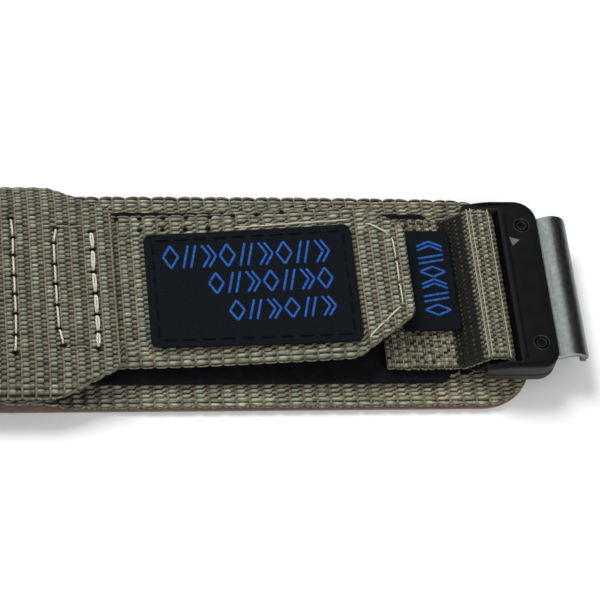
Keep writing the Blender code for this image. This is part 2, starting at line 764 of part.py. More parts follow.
def screw(side, name, centre, finish, group, cutters):
    """A small cross-head screw that clamps the cover, the lug and the base."""
    top = COVER_TOP - SCREW_HEAD_SINK
    end = -SHELL_SPLIT - LAYER_GAP - BASE_THICKNESS + SCREW_END_GAP
    profile = [
        (0.0, top),
        (SCREW_HEAD_RADIUS, top),
        (SCREW_HEAD_RADIUS, top - SCREW_HEAD_HEIGHT),
        (SCREW_SHANK_RADIUS, top - SCREW_HEAD_HEIGHT),
        (SCREW_SHANK_RADIUS, end),
        (0.0, end),
    ]
    mesh = bpy.data.meshes.new(side + "_screw_" + name)
    body = bmesh.new()
    verts = [body.verts.new((radius, 0.0, height)) for radius, height in profile]
    for first, second in zip(verts, verts[1:]):
        body.edges.new((first, second))
    body.to_mesh(mesh)
    body.free()
    piece = bpy.data.objects.new(mesh.name, mesh)
    group.objects.link(piece)
    mesh.materials.append(finish)
    turned = piece.modifiers.new("turned", "SCREW")
    turned.steps = ROUND_STEPS
    turned.render_steps = ROUND_STEPS
    turned.use_merge_vertices = True
    turned.merge_threshold = SCREW_CLEARANCE / 100
    piece.location = (centre[0], centre[1], 0.0)
    tools = []
    for along, across in ((CROSS_LENGTH, CROSS_WIDTH), (CROSS_WIDTH, CROSS_LENGTH)):
        arm = block(
            f"{side}_{name}_cross_{len(tools)}", None,
            (centre[0] - along / 2, centre[1] - across / 2, top - CROSS_DEPTH),
            (centre[0] + along / 2, centre[1] + across / 2, top + OVERRUN), cutters)
        cut(piece, arm)
        tools.append(arm)
    return piece, tools


def connector(side, turned, finishes, group, cutters):
    """One whole connector on its axis, turned half round for the left end."""
    axis = bpy.data.objects.new(side + "_connector_axis", None)
    group.objects.link(axis)
    axis.location = (-BAR_X if turned else BAR_X, 0.0, BAR_LEVEL)
    axis.rotation_euler = (0.0, 0.0, math.pi if turned else 0.0)
    shells, tools = housing_shells(side, finishes["matte_housing"], group, cutters)
    lug, lug_tools = lug_hook(side, finishes["gunmetal"], group, cutters)
    button, button_tools = detent_button(side, finishes["gunmetal"], group, cutters)
    pieces = shells + [
        lug,
        button,
        connector_bar(side, finishes["black_steel"], group),
        detent_spring(side, finishes["spring_steel"], group),
    ]
    tools += lug_tools + button_tools
    for name, centre in screw_places().items():
        piece, cross = screw(side, name, centre, finishes["black_steel"], group, cutters)
        pieces.append(piece)
        tools += cross
    hang_on(axis, pieces + tools)
    return axis


def build_strap():
    """Every piece of the strap."""
    clear_scene()
    finishes = make_finishes()
    group = new_collection("nylon_watch_strap")
    cutters = new_collection("strap_cutters")
    webbing = finishes["olive_webbing"]

    base_pad(webbing, group)
    loop_tape(finishes["loop_tape"], group)
    side_label(finishes["woven_label"], group)
    closure_webbing(webbing, group)
    flap_root(webbing, group)

    fold = bpy.data.objects.new("flap_fold_axis", None)
    group.objects.link(fold)
    fold.location = (FLAP_AXIS_X, 0.0, FLAP_AXIS_Z)
    for piece in (
        flap_webbing(webbing, group),
        hook_tape(finishes["hook_tape"], group),
        label_patch(finishes["woven_label"], group),
    ):
        piece.parent = fold
        piece.location = (-FLAP_AXIS_X, 0.0, -FLAP_AXIS_Z)

    right_axis = connector("right", False, finishes, group, cutters)
    left_axis = connector("left", True, finishes, group, cutters)
    right_loop = anchor_loop("right_anchor_loop", webbing, BASE_TAB_LEVEL, BASE_LEG_LENGTH, group)
    left_loop = anchor_loop("left_anchor_loop", webbing, CLOSURE_TAB_LEVEL, CLOSURE_LEG_LENGTH, group)
    right_loop.location = right_axis.location
    left_loop.location = left_axis.location
    left_loop.rotation_euler = left_axis.rotation_euler


build_strap()
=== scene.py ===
"""Looks of the nylon watch strap: woven webbing, tapes, labels, stitching and connectors."""

import math

import bmesh
import bpy
import numpy as np
from bpy.props import FloatProperty, FloatVectorProperty, PointerProperty
from mathutils import Matrix, Vector


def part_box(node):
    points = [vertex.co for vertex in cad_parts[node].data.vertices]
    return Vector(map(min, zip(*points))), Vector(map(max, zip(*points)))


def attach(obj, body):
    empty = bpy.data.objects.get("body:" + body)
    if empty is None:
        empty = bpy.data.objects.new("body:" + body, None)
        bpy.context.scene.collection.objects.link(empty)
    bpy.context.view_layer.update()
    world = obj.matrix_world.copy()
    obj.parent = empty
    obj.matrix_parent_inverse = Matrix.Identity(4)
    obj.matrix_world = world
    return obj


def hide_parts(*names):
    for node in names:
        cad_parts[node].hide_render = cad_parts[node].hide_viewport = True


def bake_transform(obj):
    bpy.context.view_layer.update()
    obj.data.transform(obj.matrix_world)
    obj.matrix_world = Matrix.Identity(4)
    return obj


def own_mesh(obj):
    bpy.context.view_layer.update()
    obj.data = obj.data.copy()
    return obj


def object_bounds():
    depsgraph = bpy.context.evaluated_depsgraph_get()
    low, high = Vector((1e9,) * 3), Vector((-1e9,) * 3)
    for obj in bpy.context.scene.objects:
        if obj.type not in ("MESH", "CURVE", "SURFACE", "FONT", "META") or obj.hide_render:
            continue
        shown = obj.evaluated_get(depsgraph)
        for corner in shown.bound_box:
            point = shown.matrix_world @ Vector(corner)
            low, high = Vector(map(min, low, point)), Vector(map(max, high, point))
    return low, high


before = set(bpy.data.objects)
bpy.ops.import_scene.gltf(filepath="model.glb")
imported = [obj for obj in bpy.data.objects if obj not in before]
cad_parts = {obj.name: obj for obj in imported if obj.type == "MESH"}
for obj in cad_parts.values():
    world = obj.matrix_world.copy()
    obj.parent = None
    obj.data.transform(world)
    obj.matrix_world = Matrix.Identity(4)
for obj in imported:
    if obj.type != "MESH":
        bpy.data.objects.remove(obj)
CAD_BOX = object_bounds()

bl_info = {
    "name": "Nylon Watch Strap Looks",
    "version": (1, 0, 0),
    "blender": (4, 5, 0),
    "location": "View3D > Sidebar > Strap",
    "description": "Dresses a packed watch strap in woven webbing, stitching, labels and metal",
    "category": "Object",
}

# Boxes of the solids that the looks are fitted to
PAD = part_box("base_pad")
LOOP_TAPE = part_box("loop_tape")
SIDE_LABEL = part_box("side_label")
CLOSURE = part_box("closure_webbing")
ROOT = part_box("flap_root")
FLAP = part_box("flap_webbing")
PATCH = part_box("label_patch")
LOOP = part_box("right_anchor_loop")
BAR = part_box("right_bar")
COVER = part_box("right_housing_cover")
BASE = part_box("right_housing_base")
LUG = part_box("right_lug_hook")
SCREWS = (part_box("right_screw_near"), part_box("right_screw_far"))
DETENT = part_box("right_detent_button")
SIDES = ("right", "left")
HALVES = ("base_half", "closure_half")
CONNECTORS = ("right_connector", "left_connector")

# Levels and thicknesses, read from the boxes
PAD_THICKNESS = PAD[1].z - PAD[0].z
NARROW_THICKNESS = ROOT[1].z - ROOT[0].z
TAPE_THICKNESS = LOOP_TAPE[1].z - LOOP_TAPE[0].z
LABEL_THICKNESS = SIDE_LABEL[1].z - SIDE_LABEL[0].z
WIDE_HALF_WIDTH = (PAD[1].y - PAD[0].y) / 2
NARROW_HALF_WIDTH = (ROOT[1].y - ROOT[0].y) / 2
LOOP_HALF_WIDTH = (LOOP[1].y - LOOP[0].y) / 2
COVER_HALF_WIDTH = (COVER[1].y - COVER[0].y) / 2
LUG_HALF_WIDTH = (LUG[1].y - LUG[0].y) / 2
LAYER_GAP = LOOP_TAPE[0].z - PAD[1].z
CLOSURE_LOW = PAD_THICKNESS / 2
CLOSURE_MID = LOOP_TAPE[1].z + LAYER_GAP + PAD_THICKNESS / 2
CLOSURE_HIGH = CLOSURE[1].z - PAD_THICKNESS / 2
FLAP_LEVEL = (ROOT[0].z + ROOT[1].z) / 2
BAR_CENTRE = (BAR[0] + BAR[1]) / 2

# Places along the strap that the boxes don't give
WIDE_CORNER = 0.0082
TAPE_CORNER = 0.002
DESCENT_SETBACK = 0.002
DESCENT_LENGTH = 0.0082
STEP_SETBACK = 0.0004
STEP_LENGTH = 0.0042
TAPER_LENGTH = 0.0091
NEAR_TAPER_DEPTH = 0.0044
FAR_TAPER_DEPTH = 0.0051
EDGE_DROOP = 0.0013
TIP_LIFT = 0.0023
HOOK_THICKNESS = 0.00045
HOOK_MARGIN = 0.0009
HOOK_INSET = 0.0006
HOOK_ROOT = 0.0001
HOOK_SPREAD = 0.0001
HOOK_RADIUS = 0.00008
NEAR_CUT = (0.0091, 0.0065)
FAR_CUT = (0.006, 0.0042)
CUT_ROUND = 0.0012
PATCH_CORNER = 0.0012
LOOP_RISE = 0.0046
LOOP_CREST = 0.001
LOOP_LEG = {"right": 0.0037, "left": 0.0021}
LOOP_OVERHANG = 0.0002
# Painted shade on the anchor loops where they climb from the label to the crest
LOOP_SHADE = 0.80
LOOP_SHADE_EDGE = 0.0006
LOOP_SHADE_END = 0.001
LOOP_BROWN_LENGTH = 0.003
LOOP_RAGGED = 0.55
LOOP_RAGGED_LENGTH = 0.002
PAD_FAR_OVERHANG = 0.0006
PAD_NEAR_RETREAT = 0.0007
PAD_RETREAT_END = -0.0125
PAD_RETREAT_LENGTH = 0.004
# Painted shadow on the pad's weave beside the closure's near edge
PAD_SHADE = 0.28
PAD_SHADE_START = -0.0070
PAD_SHADE_LENGTH = 0.006
PAD_BROWN_START = 0.022
PAD_BROWN_LENGTH = 0.016
PAD_SWELL = 0.0002
PAD_END_INSET = 0.00002
PAD_END_THICKNESS = 0.0005
PAD_END_HALF_WIDTH = 0.0124
TAPE_FAR_OVERHANG = 0.0002
TAPE_WAVE = 0.00014
TAPE_WAVE_LENGTHS = (0.0004, 0.0007, 0.0017)
CLOSURE_OVERHANG = 0.0005
PATCH_SHIFT = 0.00055
PATCH_FLARE = (0.00015, 0.00064)
FLAP_FAR_OVERHANG = 0.0003
FLAP_SKEW = 0.02
FLAP_SKEW_CENTRE = 0.012
LINING_THICKNESS = 0.0003
LINING_OVERHANG = 0.0002
LABEL_OVERHANG = 0.0013
LABEL_LEAN = 0.0002
LABEL_CORNER = 0.0004
LABEL_WAVE = 0.000012
LABEL_WAVE_SHARES = (1.9, 2.3)
FLAP_RISE_SHARES = (
    (0.0, 0.0), (0.14, 0.0), (0.28, 0.06), (0.45, 0.24), (0.65, 0.45), (0.80, 0.66), (0.90, 0.93), (1.0, 1.0))

# Connector sizes
ARM_THICKNESS = 0.0013
ARM_CORNER = 0.0005
ARM_TOP_SLOPE = 0.0008
ARM_LOW_SLOPE = 0.00092
ARM_SLOPE_POWER = 1.6
SLOT_REACH = 0.0033
SLOT_EDGE = BAR_CENTRE.x + SLOT_REACH
BAR_PLAY = 0.00015
HOUSING_CORNER = 0.0032
HOUSING_EDGE = 0.00028
SHELL_SEAM = 0.00006
RIDGE_WIDTH = 0.0011
RIDGE_HEIGHT = 0.00016
RECESS_RADIUS = 0.0011
RECESS_DEPTH = 0.00046
RIM_SHARES = (1.06, 0.62)
RIM_RADIUS = 0.0001
MARK_CORNERS = ((-0.0022, -0.0021), (-0.0007, -0.0026), (-0.0019, -0.0036))
MARK_LEVELS = (-0.00002, 0.00003)
LUG_THICKNESS = 0.0009
LUG_TONGUE = 0.0043
LUG_CREST_RISE = 0.0008
LUG_LIP_DROP = 0.0014
LUG_TIP_ROUND = 0.0005
LUG_EDGE = 0.00018
LUG_FOOT_DEPTH = 0.0014
LUG_FOOT_HEIGHT = 0.0010
LUG_FOOT_INSET = 0.00004
LUG_FOOT_ROUND = 0.0002
# Length along the lug's path past which a dark reflection is painted
LUG_PAINTED_DARK_FROM = 0.0063
LUG_ARCH_SHARES = ((0.0, 0.0), (0.16, 0.14), (0.34, 0.70), (0.54, 1.0), (0.74, 0.82), (0.90, 0.25))
BOSS_LOW = 0.0033
BOSS_TOP_GAP = 0.0003
BOSS_WALL = 0.0004
BOSS_PLAY = 0.00012
BOSS_LIP = 0.00018
BOSS_EDGE = 0.00012
RIM_COLOUR = (0.07, 0.07, 0.073)
BLACK_STEEL = (0.055, 0.055, 0.06)
SPRING_STEEL = (0.5, 0.5, 0.5)
SPRING_GRAIN = (900.0, 4000.0, 900.0)
SHARP_ANGLE = 35
BEVEL_ANGLE = 40
EVEN_GRAIN = (900.0, 900.0, 900.0)
BRUSHED_GRAIN = (3500.0, 260.0, 3500.0)

# Weave samples: places along a rib and across a yarn, as shares of their pitch
RIB_SHARES = (0.0, 0.04, 0.09, 0.17, 0.31, 0.45, 0.53, 0.58, 0.75, 0.92, 0.96)
YARN_SHARES = (0.0, 0.17, 0.5, 0.83)
BACK_YARN_SHARES = (0.0, 0.5)
COVERED_YARN_SHARES = (0.0,)
COVERED_LEVEL = 0.4
WEFT_SHARE = 0.055
TURN_SHARE = 0.55
WIDE_TURN_SHARE = 0.68
WEFT_LEVEL = 0.57
WIDE_WEFT_LEVEL = 0.46
STAGGER_SHARE = 0.5
YARN_WOBBLE = 0.22
PILL_REACH = (0.73, 0.80)
PILL_ROUND = 2.2
PILL_DIVE = 0.76
PILL_END_LEVEL = 0.20
SECOND_LEVEL = 0.87
EDGE_YARNS = 1.4
EDGE_LEVEL_SHARE = 0.45
EDGE_ANGLES = (62, 22, -22, -62)
LOOP_RIB_SHARE = 0.62
NARROW_YARN_SHARE = 1.1
FLAP_WIDE_BAND = 5.0
FINE_SAMPLE = 0.00025
LINING_SAMPLE = 0.001
HOOK_CLOTH_SAMPLE = 0.0005
LINING_EDGE = 0.0001
HOOK_CLOTH_EDGE = 0.00015
CLOTH_EDGE = 0.0002
WELD_REACH = 0.000004

# Stitches, as places of the holes that the thread runs through
THREAD_RADIUS = 0.00019
THREAD_PLY = 0.0011
THREAD_SIDES = 6
STITCH_POINTS = 15
STITCH_DIVE = 0.00032
STITCH_PITCH = 0.0034
STITCH_INSET_SHARE = 0.06
STITCH_RISE_SHARE = 0.2
SEAM_PITCH = 0.0028
SEAM_INSET = 0.0012
SEAM_RADIUS = 0.00011
PALE_THREAD = (0.66, 0.65, 0.52)
TAN_THREAD = (0.30, 0.28, 0.20)
DARK_THREAD = (0.004, 0.0045, 0.005)
BLACK_THREAD = (0.003, 0.0035, 0.0045)
LOOP_LINE_THREAD = (0.40, 0.39, 0.28)
BORDER_LINE_WAVE = 0.0005
KNOT_DEPTH = 0.00022
KNOT_BEND = 0.00012
KNOT_LIFT = 0.00002
BOX_KNOT_REACH = 0.00036
BOX_KNOT_RADIUS = 0.00008
FLAP_KNOT_REACH = 0.0002
FLAP_KNOT_SIZE = (0.0002, 0.00014)
BOX_SLIT = (0.0005, 0.00015)
BORDER_PIT = ((0.00034, 0.0004), 0.00035)
SIDE_PIT_SHARE = 0.42
SIDE_PIT_DEPTH = 0.0003
BOX_ROWS = (
    ((-0.0159, 0.0109), (-0.0157, 0.0076), (-0.0158, 0.0046), (-0.0158, 0.0012),
     (-0.0158, -0.0019), (-0.0158, -0.0051), (-0.0159, -0.0086), (-0.0161, -0.0114)),
    ((-0.0095, 0.0092), (-0.0100, 0.0067), (-0.0100, 0.0031), (-0.0100, -0.0002),
     (-0.0100, -0.0037), (-0.0099, -0.0076), (-0.0094, -0.0103)),
    ((-0.0046, 0.0086), (-0.0045, 0.0056), (-0.0046, 0.0018), (-0.0045, -0.0018),
     (-0.0045, -0.0053), (-0.0045, -0.0082), (-0.0046, -0.0108)),
)
BOX_SIDES = (
    ((-0.0093, 0.0097), (-0.0075, 0.0095), (-0.0056, 0.0097)),
    ((-0.0078, -0.0105), (-0.0060, -0.0105)),
)
SIDE_ROW_SHIFT = 0.0002
BORDER_ROWS = (((-0.0006, 0.0123), (0.0199, 0.0124)), ((0.0027, 0.0103), (0.0127, 0.0103)))
BORDER_END_HOLES = ((0.0236, 0.0127), (0.0272, 0.0129))
BORDER_LINE = ((0.0165, 0.01010), (0.0249, 0.01035), (0.0329, 0.01050))
TIP_ROWS = (
    ((0.0355, 0.0098), (0.0390, 0.0072)),
    ((0.0391, 0.0071), (0.0393, 0.0031), (0.0393, -0.0008), (0.0394, -0.0046)),
    ((0.0393, -0.0048), (0.0366, -0.0073), (0.0340, -0.0098)),
)
LOOP_LINE_SHIFTS = (-0.0013, -0.0009, 0.0013)
LOOP_LINE_DEPTH = 0.00004
LOOP_LINE_RADIUS = 0.0001

# Woven shapes: strokes in a cell, and rows as cells, corner and size
MOTIF_SHAPES = (
    (((0.5, 0.0), (1.0, 0.5)), ((1.0, 0.5), (0.5, 1.0)), ((0.5, 1.0), (0.0, 0.5)), ((0.0, 0.5), (0.5, 0.0))),
    (((0.05, 0.0), (0.45, 1.0)), ((0.55, 0.0), (0.95, 1.0))),
    (((0.1, 0.0), (0.6, 0.5)), ((0.6, 0.5), (0.1, 1.0)), ((0.5, 0.0), (1.0, 0.5)), ((1.0, 0.5), (0.5, 1.0))),
)
PATCH_ROWS = ((9, (0.0054, 0.0030), (0.0246, 0.0038)), (7, (0.0117, -0.0015), (0.0183, 0.0035)),
              (6, (0.0143, -0.0061), (0.0157, 0.0033)))
LABEL_ROW = (6, (0.0432, -0.0047), (0.0131, 0.0038))
MOTIF_HEIGHT = 0.00009
HOOK_CURL = ((0.02, 0.5), (0.22, 0.85), (0.55, 0.95), (0.85, 0.75), (0.95, 0.45))

# Camera, fitted to the photograph's frame, and stage
CAMERA_PLACE = (-0.0426, -0.1953, 0.3094)
CAMERA_HEADING = 19.26
CAMERA_DIP = 56.12
CAMERA_ROLL = 16.13
CAMERA_LENS = 154.1
SENSOR_WIDTH = 36.0
CLIP_START = 0.01
KEY_PLACE = (-0.34, 0.62, 0.78)
FILL_PLACE = (0.30, -0.75, 0.65)
FILL_SHARE = 0.45
KEY_SIZE = 0.45
FILL_SIZE = 0.8
SURROUND_STRENGTH = 0.42
CARD_PLACE = (0.69, 0.25, 0.52)
CARD_SIZE = 1.8
FLOOR_GAP = 0.0001


class WebbingSettings(bpy.types.PropertyGroup):
    """Sizes and colours of the nylon webbing."""

    rib_pitch: FloatProperty(
        name="Rib Pitch", description="Length of one rib along the webbing",
        default=0.00193, unit="LENGTH", precision=5)
    yarn_pitch: FloatProperty(
        name="Yarn Pitch", description="Width of one warp yarn across the webbing",
        default=0.00073, unit="LENGTH", precision=5)
    relief: FloatProperty(
        name="Relief", description="Depth of the slits between yarns",
        default=0.0004, unit="LENGTH", precision=5)
    edge_round: FloatProperty(
        name="Edge Round", description="How far the woven edge is rounded",
        default=0.0002, unit="LENGTH", precision=5)
    scallop: FloatProperty(
        name="Edge Scallop", description="Height of the bumps along the woven edge",
        default=0.00022, unit="LENGTH", precision=5)
    light: FloatVectorProperty(
        name="Light Yarn", description="Grey green of the raised half of a rib",
        default=(0.28, 0.295, 0.215), subtype="COLOR")
    dark: FloatVectorProperty(
        name="Dark Yarn", description="Brown of the lower half of a rib",
        default=(0.265, 0.243, 0.163), subtype="COLOR")
    flap_lightness: FloatProperty(
        name="Flap Lightness", description="How much lighter the flap's yarns are than the closure's",
        default=1.12, min=0.5, max=2.0)
    pad_lightness: FloatProperty(
        name="Pad Lightness", description="How much lighter the pad's yarns are than the other webbing",
        default=1.26, min=0.5, max=2.0)
    lining: FloatVectorProperty(
        name="Lining", description="Pinkish brown of the thin cloth under the pad",
        default=(0.21, 0.14, 0.115), subtype="COLOR")
    weft: FloatVectorProperty(
        name="Weft", description="Tan of the weft lines and the woven edge",
        default=(0.36, 0.31, 0.21), subtype="COLOR")


class TapeSettings(bpy.types.PropertyGroup):
    """Sizes and colours of the hook and loop tapes."""

    colour: FloatVectorProperty(
        name="Tape Colour", description="Black of the two tapes",
        default=(0.0055, 0.006, 0.0075), subtype="COLOR")
    nap_pitch: FloatProperty(
        name="Nap Pitch", description="Distance between tufts of the soft tape",
        default=0.00032, unit="LENGTH", precision=5)
    nap_height: FloatProperty(
        name="Nap Height", description="Height of the tufts",
        default=0.00009, unit="LENGTH", precision=5)
    hook_pitch: FloatProperty(
        name="Hook Pitch", description="Distance between hooks",
        default=0.00105, unit="LENGTH", precision=5)
    hook_height: FloatProperty(
        name="Hook Height", description="How far the hooks stand out of their tape",
        default=0.0002, unit="LENGTH", precision=5)


class LabelSettings(bpy.types.PropertyGroup):
    """Sizes and colours of the woven patch and the side label."""

    cloth: FloatVectorProperty(
        name="Label Cloth", description="Blue black of the fine woven cloth",
        default=(0.0062, 0.0076, 0.0098), subtype="COLOR")
    motif: FloatVectorProperty(
        name="Motif", description="Blue of the woven shapes",
        default=(0.018, 0.09, 0.36), subtype="COLOR")
    weave_pitch: FloatProperty(
        name="Weave Pitch", description="Distance between the fine ribs of the cloth",
        default=0.0003, unit="LENGTH", precision=5)
    stroke: FloatProperty(
        name="Stroke", description="Width of one woven line of the motif",
        default=0.00042, unit="LENGTH", precision=5)


class HardwareSettings(bpy.types.PropertyGroup):
    """Colours of the connectors."""

    housing: FloatVectorProperty(
        name="Housing", description="Black of the moulded plastic",
        default=(0.0042, 0.0046, 0.0058), subtype="COLOR")
    # Painted reflection: the lighter colour given to the housings' side walls
    painted_wall_reflection: FloatVectorProperty(
        name="Housing Wall", description="Colour of the housings' side walls, which are less matte",
        default=(0.032, 0.031, 0.030), subtype="COLOR")
    mark: FloatVectorProperty(
        name="Mark", description="Grey of the small printed triangle",
        default=(0.12, 0.12, 0.12), subtype="COLOR")
    lug: FloatVectorProperty(
        name="Lug", description="Gunmetal of the lug",
        default=(0.34, 0.37, 0.37), subtype="COLOR")


class StageSettings(bpy.types.PropertyGroup):
    """Floor and light of the picture."""

    floor: FloatVectorProperty(
        name="Floor", description="Colour of the floor",
        default=(0.93, 0.93, 0.93), subtype="COLOR")
    floor_size: FloatProperty(
        name="Floor Size", description="Width of the floor", default=3.0, unit="LENGTH")
    key: FloatProperty(
        name="Key Light", description="Power of the large soft light", default=9.8, unit="POWER")


class NodeSheet:
    """Builds one material's or world's nodes, on a mesh attribute or the object's coordinates."""

    def __init__(self, name, attribute=None, kind="materials"):
        self.owner = getattr(bpy.data, kind).new(name)
        self.owner.use_nodes = True
        self.tree = self.owner.node_tree
        self.attribute = attribute

    def put(self, node, values):
        """Set or link a node's inputs."""
        for key, value in values.items():
            socket = node.inputs[key]
            if isinstance(value, bpy.types.NodeSocket):
                self.tree.links.new(value, socket)
            else:
                socket.default_value = (*value, 1.0) if socket.type == "RGBA" and len(value) == 3 else value

    def add(self, kind, output, values=None, **settings):
        """An output of a new node with its settings, and its inputs set or linked by name or number."""
        node = self.tree.nodes.new(kind)
        for key, value in settings.items():
            setattr(node, key, value)
        self.put(node, values or {})
        return node.outputs[output]

    def finish(self, **values):
        """Set or link the shader's inputs, with _ for a space, and return the material."""
        self.put(self.tree.nodes["Principled BSDF"], {key.replace("_", " "): values[key] for key in values})
        return self.owner

    def place(self):
        """The coordinates that the finish is drawn on."""
        if self.attribute:
            return self.add("ShaderNodeAttribute", "Vector", attribute_name=self.attribute)
        return self.add("ShaderNodeTexCoord", "Object")

    def masks(self):
        """The four masks of the mesh attribute weave."""
        colour = self.add("ShaderNodeAttribute", "Color", attribute_name="weave")
        parts = self.add("ShaderNodeSeparateColor", 0, {"Color": colour}).node.outputs
        return [*parts, colour.node.outputs["Alpha"]]

    def noise(self, scale, detail=2.0, roughness=0.5):
        """A noise value from 0 to 1; a scale with three numbers draws it out along the axes."""
        place = self.place()
        if isinstance(scale, tuple):
            place, scale = self.add("ShaderNodeMapping", "Vector", {"Vector": place, "Scale": scale}), 1.0
        return self.add("ShaderNodeTexNoise", "Fac", {
            "Vector": place, "Scale": scale, "Detail": detail, "Roughness": roughness})

    def ramp(self, value, low, high, start=0.0, end=1.0):
        """A value mapped from low..high to start..end, held at both ends."""
        return self.add("ShaderNodeMapRange", "Result", {
            "Value": value, "From Min": low, "From Max": high, "To Min": start, "To Max": end})

    def mix(self, share, first, second, blend="MIX"):
        """A mix of two colours."""
        return self.add("ShaderNodeMix", 2, {0: share, 6: first, 7: second}, data_type="RGBA", blend_type=blend)

    def shaded(self, colour, *layers):
        """A colour times values, each a socket or what ramp takes."""
        for layer in layers:
            value = self.ramp(*layer) if isinstance(layer, tuple) else layer
            grey = self.add("ShaderNodeCombineColor", 0, {0: value, 1: value, 2: value})
            colour = self.mix(1.0, colour, grey, "MULTIPLY")
        return colour

    def sum(self, first, second, operation="ADD"):
        """Two values added, or put through another operation."""
        return self.add("ShaderNodeMath", 0, {0: first, 1: second}, operation=operation)

    def bump(self, height, distance, strength):
        """A normal bent by a height."""
        return self.add("ShaderNodeBump", "Normal", {
            "Height": height, "Distance": distance, "Strength": strength})


def webbing_finish(settings, name="olive_webbing", light=1.0):
    """Nylon webbing: raised grey green floats, brown ones beside them, tan wefts, and dark slits: the height
    mask paints shade in the slits and a highlight on the crowns.
    """
    sheet = NodeSheet(name, "cloth")
    relief, column, weft, chosen = sheet.masks()
    green = sheet.ramp(sheet.noise(300.0, 3.0), 0.36, 0.64)
    float_colour = sheet.mix(green, settings.light, [0.80 * c for c in settings.light])
    brown = [0.6 * d + 0.3 * c for c, d in zip(settings.light, settings.dark)]
    cloth = sheet.mix(column, float_colour, sheet.mix(green, settings.dark, brown))
    # The fibre streaks lighten and darken the colour: partly fibre tone, partly painted highlight
    fibres = sheet.noise((500.0, 4200.0, 1500.0), 4.0, 0.6)
    # The last layer is the height mask to a power: painted shade in the slits and on the woven edge, painted
    # highlight on the crowns
    cloth = sheet.shaded(
        sheet.mix(weft, cloth, settings.weft), (chosen, 0.1, 0.9, 0.88 * light, 1.14 * light),
        (fibres, 0.34, 0.66, 0.50, 1.60), sheet.sum(sheet.ramp(relief, 0.10, 0.96, 0.07, 1.0), 1.55, "POWER"))
    return sheet.finish(
        Base_Color=cloth, Roughness=sheet.ramp(fibres, 0.3, 0.7, 0.42, 0.70),
        Normal=sheet.bump(fibres, 0.00010, 0.9), Specular_IOR_Level=0.25, Sheen_Weight=0.02,
        Sheen_Roughness=0.4)


def fibre_finish(name, colour, stretch, tones, roughness, bump, gloss, detail=3.0, twisted=False):
    """Cloth or thread with fine drawn-out fibres, and, where it is twisted, painted shade in the grooves
    between its plies.
    """
    sheet = NodeSheet(name, "cloth")
    if twisted:
        colour = sheet.shaded(colour, (sheet.masks()[0], 0.0, 1.0, 0.55, 1.1))
    fibres = sheet.noise(stretch, detail, 0.6)
    return sheet.finish(
        Base_Color=sheet.shaded(colour, (fibres, 0.3, 0.7, *tones)), Roughness=roughness,
        Normal=sheet.bump(fibres, *bump), Specular_IOR_Level=gloss)


def thread_finish(name, colour, gloss=0.4):
    """Twisted sewing thread."""
    return fibre_finish(name, colour, (1800.0, 9000.0, 1800.0), (0.75, 1.2), 0.5, (0.00004, 0.7), gloss,
                        twisted=True)


def tape_finish(settings, name):
    """Black tape cloth with fine fibres."""
    sheet = NodeSheet(name, "cloth")
    fuzz = sheet.noise(5200.0, 4.0, 0.7)
    cloth = sheet.shaded(settings.colour, (fuzz, 0.32, 0.7, 0.45, 1.7),
                         (sheet.noise(420.0, 3.0), 0.3, 0.7, 0.75, 1.3))
    return sheet.finish(Base_Color=cloth, Roughness=0.92, Normal=sheet.bump(fuzz, 0.00009, 0.9),
                        Specular_IOR_Level=0.08, Sheen_Weight=0.02, Sheen_Roughness=0.5)


def label_finish(settings):
    """Fine woven cloth of the labels: ribs across, threads along, its colour darker where the cloth is lower:
    painted shade in the grooves between ribs.
    """
    sheet = NodeSheet("woven_label", "cloth")
    ribs = sheet.add("ShaderNodeTexWave", "Fac", {
        "Vector": sheet.place(), "Scale": 0.31 / settings.weave_pitch, "Distortion": 1.5, "Detail": 2.0,
        "Detail Scale": 3.0}, bands_direction="Y")
    height = sheet.sum(ribs, sheet.noise((5200.0, 900.0, 900.0), 3.0, 0.6))
    return sheet.finish(
        Base_Color=sheet.shaded(settings.cloth, (height, 0.5, 1.6, 0.7, 1.3)), Roughness=0.75,
        Normal=sheet.bump(height, 0.00004, 0.6), Specular_IOR_Level=0.04)


def housing_finish(settings):
    """Matte moulded plastic with a fine spark texture, with its side walls painted lighter: a painted
    reflection.
    """
    sheet = NodeSheet("matte_housing")
    wear = sheet.noise(500.0, 4.0, 0.6)
    # Walls facing across the strap take the wall colour: painted reflection
    facing = sheet.add("ShaderNodeSeparateXYZ", 1, {0: sheet.add("ShaderNodeTexCoord", "Normal")})
    walls = sheet.ramp(sheet.sum(facing, 0.0, "ABSOLUTE"), 0.3, 0.9)
    colour = sheet.shaded(settings.housing, (wear, 0.35, 0.65, 0.88, 1.12))
    return sheet.finish(
        Base_Color=sheet.mix(walls, colour, settings.painted_wall_reflection), Roughness=sheet.ramp(wear, 0.3, 0.7, 0.46, 0.60),
        Normal=sheet.bump(sheet.noise(9000.0, 3.0, 0.6), 0.00002, 0.35), Specular_IOR_Level=0.18)


def metal_finish(name, colour, scale, rough=(0.30, 0.46), worn=0.25, painted_dark_from=None):
    """Metal with grain drawn out along one axis and a mottled colour, painted darker past a given length along
    its path: a painted dark reflection.
    """
    sheet = NodeSheet(name)
    if painted_dark_from:
        place = sheet.add("ShaderNodeAttribute", "Vector", attribute_name="cloth")
        along = sheet.add("ShaderNodeSeparateXYZ", 0, {0: place})
        colour = sheet.shaded(colour, (along, painted_dark_from, painted_dark_from + 0.0014, 1.0, 0.55))
    grain = sheet.noise(scale, 4.0, 0.65)
    mottle = sheet.noise(1400.0, 4.0, 0.7)
    tone = sheet.shaded(colour, (mottle, 0.3, 0.7, 1.0 - worn, 1.0 + worn), (grain, 0.3, 0.7, 0.88, 1.1))
    return sheet.finish(
        Base_Color=tone, Metallic=1.0, Roughness=sheet.ramp(mottle, 0.3, 0.7, *rough),
        Normal=sheet.bump(grain, 0.00001, 0.5))


